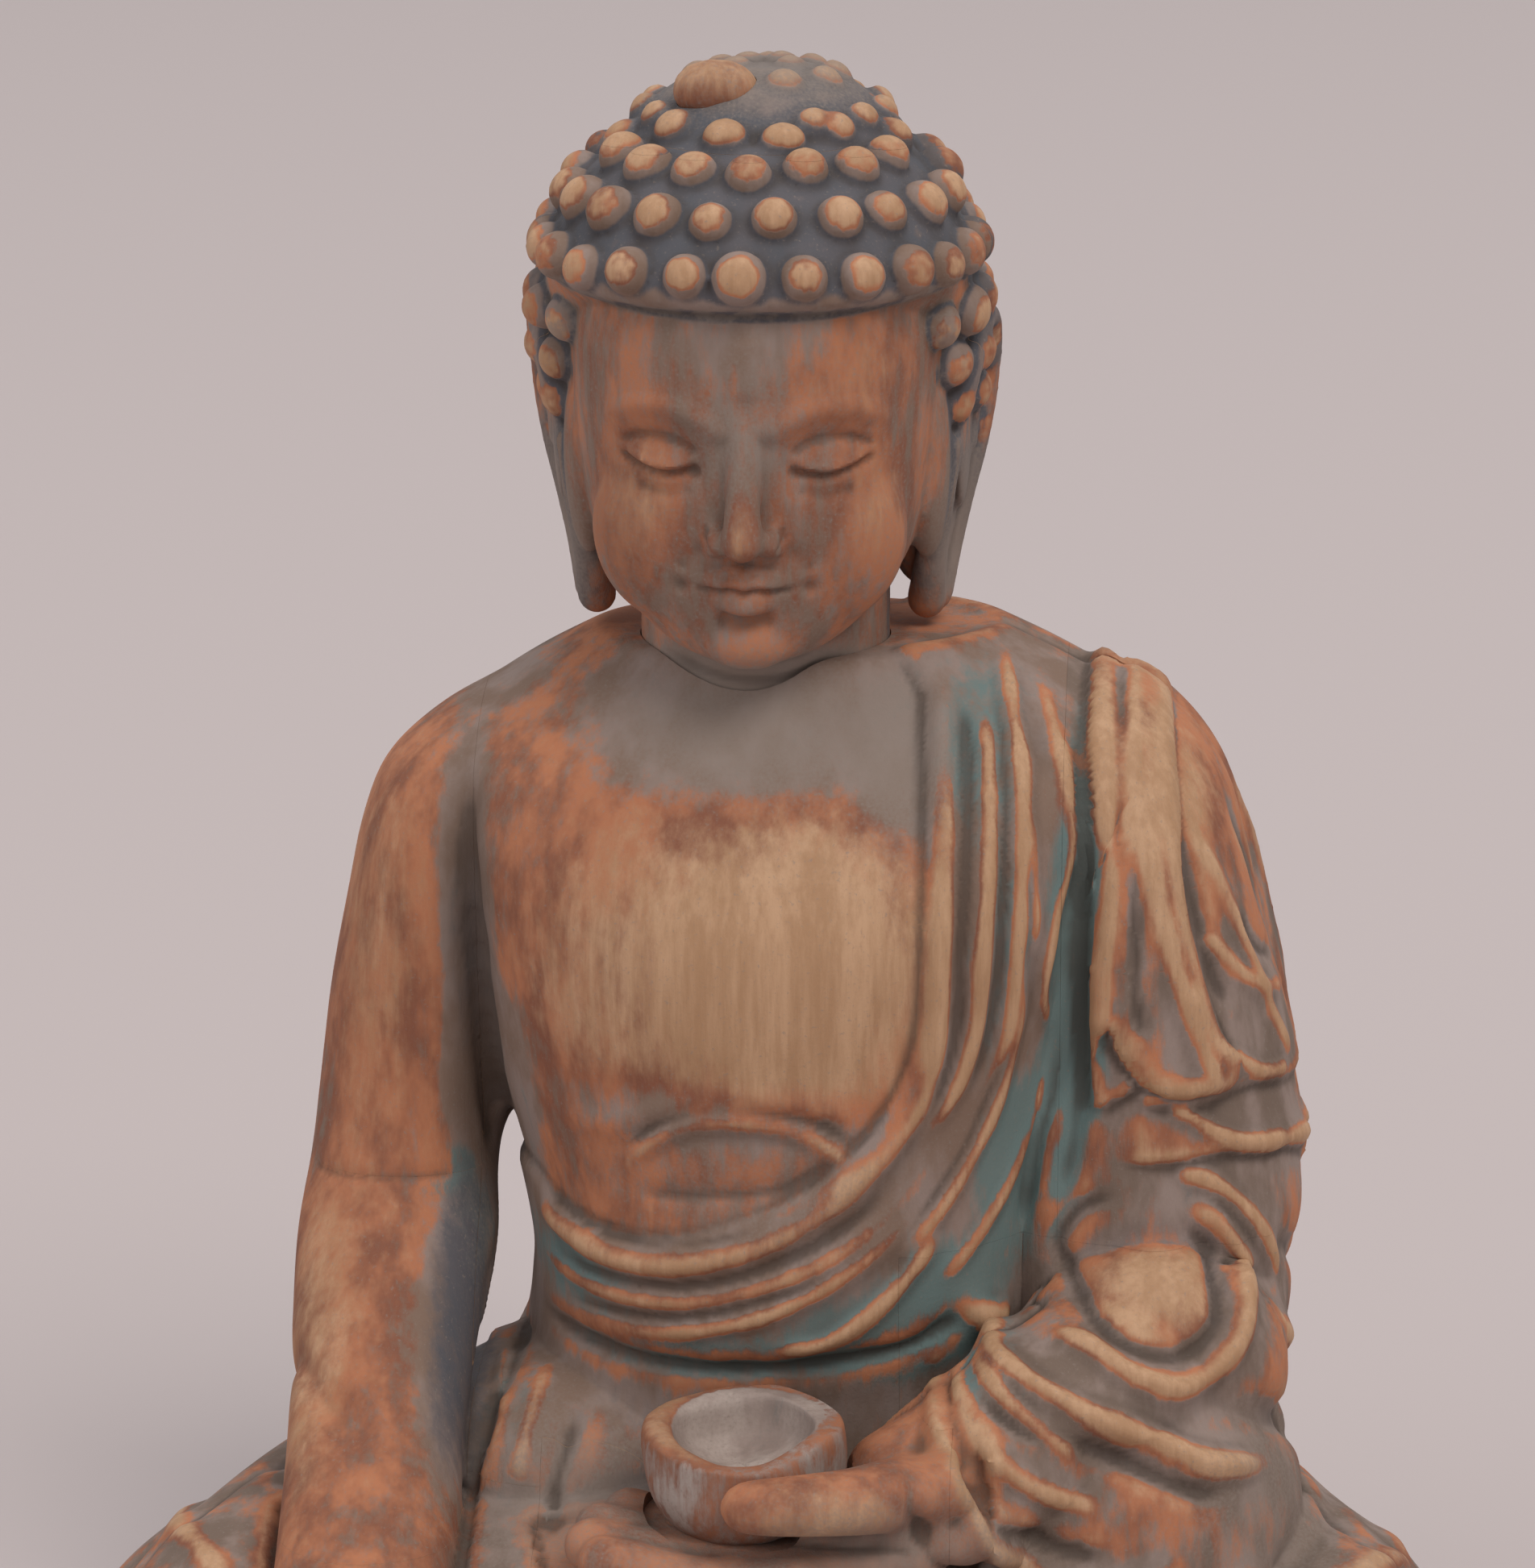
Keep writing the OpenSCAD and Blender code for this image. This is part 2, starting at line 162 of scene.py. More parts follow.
def voxelMesh(bm, size):
    rough = placed("rough", asMesh(bm, "rough"))
    voxels = rough.modifiers.new("voxels", "REMESH")
    voxels.mode = "VOXEL"
    voxels.voxel_size = size
    ready = rough.evaluated_get(bpy.context.evaluated_depsgraph_get())
    made = bpy.data.meshes.new_from_object(ready)
    bpy.data.objects.remove(rough)
    return made


def takeClay(mesh):
    # the clay is a mesh with its points, neighbours and masks in arrays
    edges = readOut(mesh.edges, "vertices", 2, np.int32)
    clay = {"mesh": mesh, "co": readOut(mesh.vertices, "co", 3).astype(float), "edges": edges}
    clay["count"] = np.bincount(edges.ravel(), minlength=len(clay["co"])).astype(float)
    for mask in maskNames:
        clay[mask] = np.zeros(len(clay["co"]))
    refresh(clay)
    return clay


def refresh(clay):
    # puts the points back in the mesh, and takes new normals and a new tree for ray casts
    mesh = clay["mesh"]
    mesh.vertices.foreach_set("co", clay["co"].astype(np.float32).ravel())
    mesh.update()
    clay["normal"] = readOut(mesh.vertex_normals, "vector", 3).astype(float)
    bm = bmesh.new()
    bm.from_mesh(mesh)
    clay["tree"] = BVHTree.FromBMesh(bm)
    bm.free()


def spread(clay, values, rounds):
    # an average over the neighbours, again and again
    a, b = clay["edges"][:, 0], clay["edges"][:, 1]
    n = len(clay["count"])
    for _ in range(rounds):
        if values.ndim == 1:
            total = np.bincount(a, values[b], n) + np.bincount(b, values[a], n)
            values = 0.5 * values + 0.5 * total / clay["count"]
        else:
            values = np.stack([spread(clay, values[:, k], 1) for k in range(values.shape[1])], 1)
    return values


def relax(clay, rounds):
    clay["co"] = spread(clay, clay["co"], rounds)


views = {"front": (0, 2, 1, -1), "back": (0, 2, 1, 1), "left": (1, 2, 0, 1), "right": (1, 2, 0, -1),
         "top": (0, 1, 2, 1)}       # two drawing axes, the axis looked along, and where the eye is


def onSkin(clay, view, points, steps=8):
    # a curve drawn on a flat view, laid on the skin
    u, v, w, sign = views[view]
    laid = []
    for p in smoothPath(points, steps):
        start = Vector((0, 0, 0))
        start[u], start[v], start[w] = p[0], p[1], sign * 300
        way = Vector((0, 0, 0))
        way[w] = -sign
        hit = clay["tree"].ray_cast(start, way)[0]
        if hit is not None:
            laid.append(hit[:])
    return np.array(laid)


def nearPath(clay, path, reach):
    low, high = path.min(0) - reach, path.max(0) + reach
    who = np.flatnonzero(((clay["co"] > low) & (clay["co"] < high)).all(1))
    p = clay["co"][who]
    best = np.full(len(who), 1e9)
    along = np.zeros(len(who))
    for k in range(len(path) - 1):
        a, ab = path[k], path[k + 1] - path[k]
        t = np.clip(((p - a) @ ab) / max(ab @ ab, 1e-9), 0, 1)
        far = np.linalg.norm(p - a - t[:, None] * ab, axis=1)
        closer = far < best
        best[closer] = far[closer]
        along[closer] = (k + t[closer]) / (len(path) - 1)
    return who, best, along


# reach, bell and skirt are in half widths of the stroke; the rest are shares of its height or wear
stroke = {
    "reach": 2.3, "bell": 1.2, "uneven": 0.4, "crest": 1.2, "core": 0.74, "skirt": 1.75, "skirtShare": 0.3,
    "patch": 0.11, "heightUneven": 0.3, "rub": 0.55, "rubUneven": 1.1, "rubBell": 0.6,
}


def carve(clay, view, points, width, height, fade=(0.2, 0.2), rub=0.0):
    # a ridge (height above 0) or a groove (below 0) along a curve; rub wears its crest
    path = onSkin(clay, view, points)
    if len(path) < 2:
        return
    who, far, along = nearPath(clay, path, width * stroke["reach"])
    patchy = np.array([noise.noise(Vector(p) * stroke["patch"]) for p in path])
    patchy = np.interp(along, np.linspace(0, 1, len(path)), patchy)
    breadth = width * (stroke["bell"] + stroke["uneven"] * patchy)
    bell = ease(1 - far / breadth) ** (stroke["crest"] if height > 0 else 1.0)
    bell = stroke["core"] * bell + stroke["skirtShare"] * ease(1 - far / (stroke["skirt"] * breadth))
    taper = ease(along / fade[0]) * ease((1 - along) / fade[1])
    rise = height * (1 + stroke["heightUneven"] * patchy) * bell * taper
    clay["co"][who] += clay["normal"][who] * rise[:, None]
    rubbed = stroke["rub"] + stroke["rubUneven"] * patchy
    clay["wear"][who] += rub * rubbed * ease(1 - far / (stroke["rubBell"] * breadth)) * taper


def inside(points, outline):
    # signed distance to a closed outline, above 0 inside
    hit = np.zeros(len(points), bool)
    best = np.full(len(points), 1e9)
    x, y = points[:, 0], points[:, 1]
    for a, b in zip(outline, np.roll(outline, -1, axis=0)):
        ab = b - a
        t = np.clip(((points - a) @ ab) / max(ab @ ab, 1e-9), 0, 1)
        best = np.minimum(best, np.linalg.norm(points - a - t[:, None] * ab, axis=1))
        crosses = (a[1] > y) != (b[1] > y)
        rise = ab[1] if abs(ab[1]) > 1e-9 else 1e-9
        hit ^= crosses & (x < a[0] + (y - a[1]) * ab[0] / rise)
    return np.where(hit, best, -best)


def spot(clay, mask, centre, size, amount, soft=0.6):
    # a soft round area in a mask
    far = np.linalg.norm((clay["co"] - np.array(centre)) / np.array(size), axis=1)
    clay[mask] += amount * ease((1 - far) / soft)


maskNames = ["robe", "wear", "red", "teal", "dust", "blue", "paintedshade"]

body = {
    "voxel": 0.9,
    "trunk": [
        (-4, -50, 52, -30, 38, 3, 2.8), (6, -51, 53, -34, 41.5, 3, 2.8), (20, -52, 54, -36, 42.5, 3, 2.8),
              (40, -54, 54, -38, 43, 4, 2.7), (60, -50, 53, -40, 41, 3, 2.5),
        (78, -42, 49, -41.5, 38, 1, 2.4), (90, -40, 49.5, -45, 37, 0, 2.4), (98, -40, 50, -46, 36, 0, 2.4),
              (112, -43, 52, -46, 35, 0, 2.3),
        (128, -48, 54, -46, 36, 0, 2.3), (144, -51, 56, -48, 37, 1, 2.3), (158, -54, 60, -48, 38, 1, 2.3),
        (170, -57, 64, -44, 38, 3, 2.4), (181, -58, 67, -37, 36, 4, 2.4), (189, -51, 61, -31, 33, 5, 2.2),
        (196, -41, 50, -27, 29, 5, 2.1), (202, -30, 38, -24, 25, 4, 2)],
    "lap": [
        (-4, -110, 111, -80, 28, -34, 2.4), (6, -116, 117, -84, 30, -34, 2.3),
            (16, -118.5, 119, -86, 31, -34, 2.2),
        (28, -117, 119, -86, 30, -33, 2.2), (38, -110, 115, -84, 27, -31, 2.2),
            (47, -97, 106, -78, 20, -28, 2.1),
        (55, -78, 92, -68, 12, -24, 2.1), (61, -55, 72, -56, 6, -20, 2), (64, -30, 50, -44, 0, -18, 2)],
    "rightArm": [
        (48, -80, -50, -78, -48, -62, 2.3), (58, -79.5, -49, -70, -40, -54, 2.3),
        (70, -79.5, -49.5, -58, -28, -42, 2.3), (84, -80.5, -48.5, -45, -13, -28, 2.2),
        (98, -81, -47, -34, 0, -16, 2.2), (110, -79.5, -47, -25, 9, -7, 2.2),
                 (124, -78, -44, -22, 13, -4, 2.2),
        (140, -76, -40, -22, 16, -3, 2.2), (156, -73, -36, -23, 19, -1, 2.2),
                 (168, -70.5, -34, -23, 20, 0, 2.2),
        (178, -66.5, -32, -21, 20, 1, 2.1), (186, -58, -30, -16, 18, 2, 2.1),
                 (192, -48, -28, -9, 13, 3, 2)],
    "leftSleeve": [
        (60, 40, 86, -30, 12, -10, 2.2), (72, 40, 85, -34, 14, -11, 2.2), (86, 40, 88, -36, 16, -11, 2.2),
        (98, 38, 89, -36, 18, -10, 2.2), (108, 36, 90, -35, 19, -9, 2.2), (120, 34, 88, -33, 20, -7, 2.2),
        (134, 34, 85, -31, 21, -5, 2.2), (150, 34, 81, -30, 23, -3, 2.2), (166, 34, 76.5, -28, 23, -1, 2.2),
        (178, 34, 72.5, -23, 22, 1, 2.1), (187, 34, 65, -16, 19, 3, 2.1), (194, 34, 54, -8, 14, 5, 2)],
    "forearm": [(72, -8, 92, 15), (70, -26, 86, 17), (58, -42, 80, 18), (42, -54, 74, 15),
                (26, -60, 70, 11)],
}

bm = bmesh.new()
addMass(bm, body["trunk"])
addMass(bm, body["lap"], sides=64)
addMass(bm, body["rightArm"])
addMass(bm, body["leftSleeve"])
addLimb(bm, body["forearm"], sides=32)
addBall(bm, (66, -36, 84), (22, 15, 20))            # the worn round of the elbow
addBall(bm, (-32, -18, 62), (30, 30, 17))           # cloth gathered over the right hip
addBall(bm, (58, -34, 58), (33, 34, 34))            # cloth falling from the left forearm
addLimb(bm, [(-60, 4, 34, 26), (-72, -22, 34, 26), (-88, -44, 28, 24)], sides=32)      # right thigh
addLimb(bm, [(60, 4, 34, 26), (76, -22, 36, 27), (92, -44, 30, 25)], sides=32)         # left thigh
# the crossed shins under the cloth
addLimb(bm, [(-96, -52, 24, 17), (-60, -68, 23, 18), (-20, -72, 22, 17), (18, -70, 22, 15)], sides=28)
addLimb(bm, [(98, -54, 27, 18), (64, -68, 28, 18), (30, -68, 34, 15), (4, -62, 42, 12)], sides=28)
# the left hand under the bowl
addLimb(bm, [(38, -60, 68, 12), (26, -66, 65, 14), (8, -68, 62, 14), (-8, -67, 61, 12)], flat=0.62,
        sides=24)
addLimb(bm, [(31, -66, 72, 8), (26, -76, 75.2, 7.2), (18, -82.5, 76.2, 6.3), (8, -84.6, 76, 5.7),
             (2, -84.4, 75.6, 5.2)],
        flat=0.86)
for k, (reach, low) in enumerate([(-22, -78), (-25, -71), (-24, -64), (-20, -57)]):
    addLimb(bm, [(10, low - 4, 61, 5.6), (-6, low - 4, 60, 5.4), (reach, low - 3, 64, 4.8)])
# the right hand laid over the shin, fingers down
addLimb(bm, [(-65, -60, 56, 13), (-65.5, -72, 47, 12.6), (-65.5, -82, 36, 11.8), (-65.5, -85, 29, 10.5)],
        sides=28, flat=0.62)
for x, reach in zip((-76.4, -70.2, -63.9, -57.9), (13.5, 10.5, 11.5, 15)):
    addLimb(bm, [(x + 0.4, -84, 33, 3.7), (x, -89.6, 24, 3.6), (x - 0.2, -90.4, reach + 3, 3.1)], sides=16)
addLimb(bm, [(-55.2, -72, 46, 4.4), (-53.9, -82, 37, 4.1), (-54.2, -88.3, 28, 3.3)], sides=16)
clay = takeClay(voxelMesh(bm, body["voxel"]))
relax(clay, 8)
refresh(clay)
print("body massed", len(clay["co"]))


def cover(clay, pieces, edge=1.0, facing=-0.05, outside=None):
    # how far each point lies under a cloth drawn on several flat views, from 0 to 1;
    # outside keeps it beyond one x
    share = np.zeros(len(clay["co"]))
    for view, outline in pieces:
        u, v, w, sign = views[view]
        shape = closedPath(outline, 4)
        look = clay["normal"][:, w] * sign
        who = np.flatnonzero(look > facing)
        part = ease(0.5 + inside(clay["co"][who][:, [u, v]], shape) / (2 * edge))
        share[who] = np.maximum(share[who], part * ease((look[who] - facing) / 0.15))
    if outside is not None:
        share *= ease((clay["co"][:, 0] - outside) / 1.6 + 0.5)
    return share


def raiseCloth(clay, share, height):
    clay["co"] += clay["normal"] * (height * share)[:, None]
    refresh(clay)


# the robe: over the left shoulder and the back, round the waist, and over both legs
robeFront = [(26, 210), (27, 196), (28, 180), (28, 160), (27, 143), (22, 130), (15, 121.5), (7, 115),
             (-3, 110.5),
             (-14, 107), (-25, 106), (-34, 109), (-41, 112), (-47, 100), (-46, 80), (-52, 66), (-130, 62),
             (-130, -10), (130, -10), (130, 210)]
robeBack = [(30, 215), (22, 200), (6, 190), (-14, 178), (-34, 160), (-46, 146), (-47, 100), (-60, 66),
            (-130, 62),
            (-130, -10), (130, -10), (130, 215)]
clay["robe"] = cover(clay, [("front", robeFront), ("back", robeBack)], edge=0.9)
skinHand = inside(clay["co"][:, [0, 2]],
                  closedPath([(-34, 54), (-34, 74), (-14, 72), (0, 84), (34, 86), (40, 74), (36, 56),
        (0, 52)], 4))
clay["robe"][(skinHand > 0) & (clay["co"][:, 1] < -52) & (clay["normal"][:, 2] > -2)] = 0
clay["robe"][(clay["co"][:, 0] < -48.5) & (clay["co"][:, 2] > 60)] = 0
x, y, z = clay["co"].T
clay["robe"][(x < -46.5) & (y < -40) & (z > 47) & (x > -82)] = 0
raiseCloth(clay, clay["robe"], 1.6)

# layers of the left sleeve, the lowest first
raiseCloth(clay, cover(clay, [
    ("front", [(54, 200), (54, 133), (62, 131), (70, 128), (75, 124.5), (80, 121.5), (86, 119.5), (98, 118),
               (98, 200)]),
    ("left", [(-44, 200), (-40, 126), (-30, 120), (-18, 118), (-6, 116), (8, 118), (22, 121), (34, 117),
              (44, 200)]),
    ("back", [(52, 200), (52, 132), (60, 126), (70, 118), (80, 120), (98, 117), (98, 200)])], 0.8,
                       outside=54), 1.7)
raiseCloth(clay, cover(clay, [
    ("front", [(54, 195), (54.5, 140), (58, 143), (60.5, 138), (65, 132.5), (72, 131.5), (78, 132.5),
               (75, 140),
               (72, 150), (69, 163), (67, 180), (64, 195)])], 0.8, outside=54), 1.8)
raiseCloth(clay, cover(clay, [
    ("front", [(63, 195), (68, 168), (71.5, 151), (75, 141), (80, 135.5), (86, 131), (98, 130), (98, 195)]),
    ("left", [(-44, 195), (-38, 134), (-26, 131), (-14, 129), (0, 131), (12, 134), (20, 160), (14, 195)])],
    0.8, outside=60), 1.5)

# the folds: view, curve, half width, height, worn, fades
folds = [
    # the band from the left shoulder
    ("front", [(30, 201), (30, 190), (31, 176), (30.5, 158), (29.5, 140), (26, 129), (19, 121),
               (10, 115.5)], 2.6, 1.5, 0.9, (0.1, 0.15)),
    ("front", [(36, 196), (37.5, 186), (38, 172), (37, 156), (36, 144), (32.5, 133), (26, 123)], 2.4, 1.7,
     0.9, (0.15, 0.2)),
    ("front", [(39, 203), (41, 193), (43, 183), (43, 167), (42, 151), (40, 139), (36, 128)], 2.2, 1.7, 0.9,
     (0.1, 0.25)),
    ("front", [(43.5, 182), (45.5, 166), (45.5, 154)], 1.6, 1.0, 0.6, (0.2, 0.4)),
    ("front", [(43.5, 158), (43, 146), (40.5, 133), (36, 122), (30, 112), (23, 104)], 2.2, 1.4, 0.7,
     (0.25, 0.2)),
    ("front", [(48, 138), (46, 127), (42, 116), (36, 106), (29, 98.5)], 2.0, 1.2, 0.5, (0.25, 0.25)),
    ("front", [(41, 142), (38, 129), (33, 119), (26, 109)], 1.5, -0.8, 0, (0.2, 0.2)),
    ("front", [(45, 199), (48, 190), (51.5, 180), (52, 169), (49, 160), (47.3, 152), (47, 146), (49, 139)],
     2.0, 1.5, 0.8, (0.2, 0.2)),
    ("front", [(33.3, 196), (34.5, 180), (34, 160), (33, 142), (28, 128)], 2.2, -0.9, 0, (0.1, 0.3)),
    ("front", [(40.3, 180), (40.3, 160), (38.5, 144), (34, 130)], 1.8, -0.8, 0, (0.2, 0.3)),
    ("front", [(53, 190), (54, 173), (53.6, 159), (53, 140), (52, 122), (49, 108)], 4.2, -2.2, 0,
     (0.15, 0.15)),
    # round the belly
    ("front", [(-41, 107), (-33, 104.5), (-22, 102), (-10, 103.5), (2, 107.5), (13, 114.5), (22, 124),
               (29, 136)], 2.8, 1.7, 0.3, (0.15, 0.2)),
    ("front", [(-44, 101), (-34, 97), (-20, 95.5), (-8, 97), (4, 101), (14, 106), (24, 114), (31, 124)],
     2.4, 1.1, 0.2, (0.2, 0.3)),
    ("front", [(-30, 90), (-18, 90), (-6, 92.5), (4, 96), (13, 101), (22, 108), (30, 117)], 2.2, 1.4, 0.5,
     (0.3, 0.25)),
    ("front", [(2, 88), (11, 90), (17, 93.5), (22.5, 98.5), (27, 104), (31, 110)], 2.2, 1.8, 1.0,
     (0.15, 0.2)),
    ("front", [(-40, 111), (-33, 107.5), (-22, 105.5), (-12, 106.5), (-2, 109.5), (8, 114)], 1.6, -1.0, 0,
     (0.2, 0.3)),
    ("front", [(-38, 100), (-22, 98.5), (-8, 100), (4, 104), (15, 110.5), (25, 121)], 1.6, -0.8, 0,
     (0.2, 0.3)),
    ("front", [(-36, 92), (-24, 92.5), (-8, 94.5), (4, 98.5), (16, 104)], 1.6, -0.7, 0, (0.2, 0.3)),
    ("front", [(-41, 88), (-30, 85), (-14, 83.5), (2, 84), (16, 86), (28, 89), (38, 96)], 2.4, -2.0, 0,
     (0.15, 0.15)),
    ("front", [(44, 104), (46, 118), (49, 132), (50, 146)], 1.8, -1.2, 0, (0.2, 0.3)),
    # the left sleeve
    ("front", [(56, 184), (57.5, 172), (58, 159), (57.5, 147), (55.5, 141)], 2.6, 1.5, 0.9, (0.2, 0.15)),
    ("front", [(62, 182), (65, 168), (68, 156), (71, 146), (74.5, 137), (77, 133)], 2.4, 1.3, 0.8,
     (0.25, 0.15)),
    ("front", [(55, 141), (58.5, 143.5), (60.5, 139), (64, 133.8), (69, 132.2), (74, 132.2), (78, 133.5)],
     1.9, 1.3, 1.0, (0.06, 0.1)),
    ("front", [(71, 152), (74, 143), (78, 137.5), (83, 133), (88, 131.5)], 1.9, 1.2, 1.0, (0.15, 0.05)),
    ("front", [(73, 158), (77, 153), (82, 147), (87, 144)], 2.2, 1.0, 0.8, (0.2, 0.1)),
    ("front", [(68, 129.5), (72, 127), (76, 124), (81, 121.5), (88, 120.5)], 1.9, 1.2, 1.0, (0.15, 0.05)),
    ("front", [(61, 178), (62, 160), (62.5, 148), (64, 140)], 2.0, -1.3, 0, (0.3, 0.2)),
    ("front", [(69, 178), (72, 164), (75, 152), (79, 143)], 2.2, -1.2, 0, (0.3, 0.2)),
    ("front", [(79, 160), (83, 152), (87, 148)], 2.0, -1.0, 0, (0.3, 0.2)),
    # round the elbow
    ("front", [(71, 113), (77, 108), (81, 101), (81, 94), (77, 89), (71, 87), (64, 89.5), (56, 94),
               (48, 96)], 2.8, 2.4, 1.0, (0.12, 0.12)),
    ("front", [(69, 118), (76, 115), (82, 109), (86, 101), (86.5, 93)], 2.2, 1.6, 0.8, (0.15, 0.25)),
    ("front", [(70, 110), (76, 103), (77, 96), (72, 91.5), (64, 93.5), (56, 98), (50, 104), (54, 111),
               (62, 114)], 2.2, -1.5, 0, (0.1, 0.1)),
    # cloth falling over the lap
    ("front", [(32, 95), (41, 91.5), (50, 88), (58, 84), (68, 79), (76, 75), (87, 72)], 3.0, 2.8, 1.0,
     (0.12, 0.1)),
    ("front", [(36, 92), (44, 86), (50, 82), (57, 78.5)], 2.6, 1.9, 0.9, (0.2, 0.3)),
    ("front", [(33, 90), (38, 82), (44, 76.5), (52, 72), (60, 69.5)], 2.8, 2.0, 0.9, (0.2, 0.25)),
    ("front", [(29, 88), (33, 79), (37, 71), (43, 63), (51, 57), (60, 55.5), (67, 57.5), (73, 61)], 2.8,
     2.6, 1.0, (0.12, 0.2)),
    ("front", [(38, 88), (46, 83.5), (56, 80), (68, 74.5), (80, 69)], 2.4, -2.0, 0, (0.15, 0.15)),
    ("front", [(35, 85), (41, 78), (49, 73.5), (58, 71)], 2.0, -1.6, 0, (0.2, 0.3)),
    ("front", [(32, 82), (37, 73), (43, 67), (52, 63), (62, 62)], 2.4, -1.8, 0, (0.2, 0.2)),
    ("front", [(28, 84), (29, 72), (33, 62), (40, 54), (50, 49)], 2.6, -1.8, 0, (0.2, 0.2)),
    ("front", [(76, 52), (84, 54), (91, 50), (97, 42)], 3.4, 1.6, 0.8, (0.2, 0.3)),
]
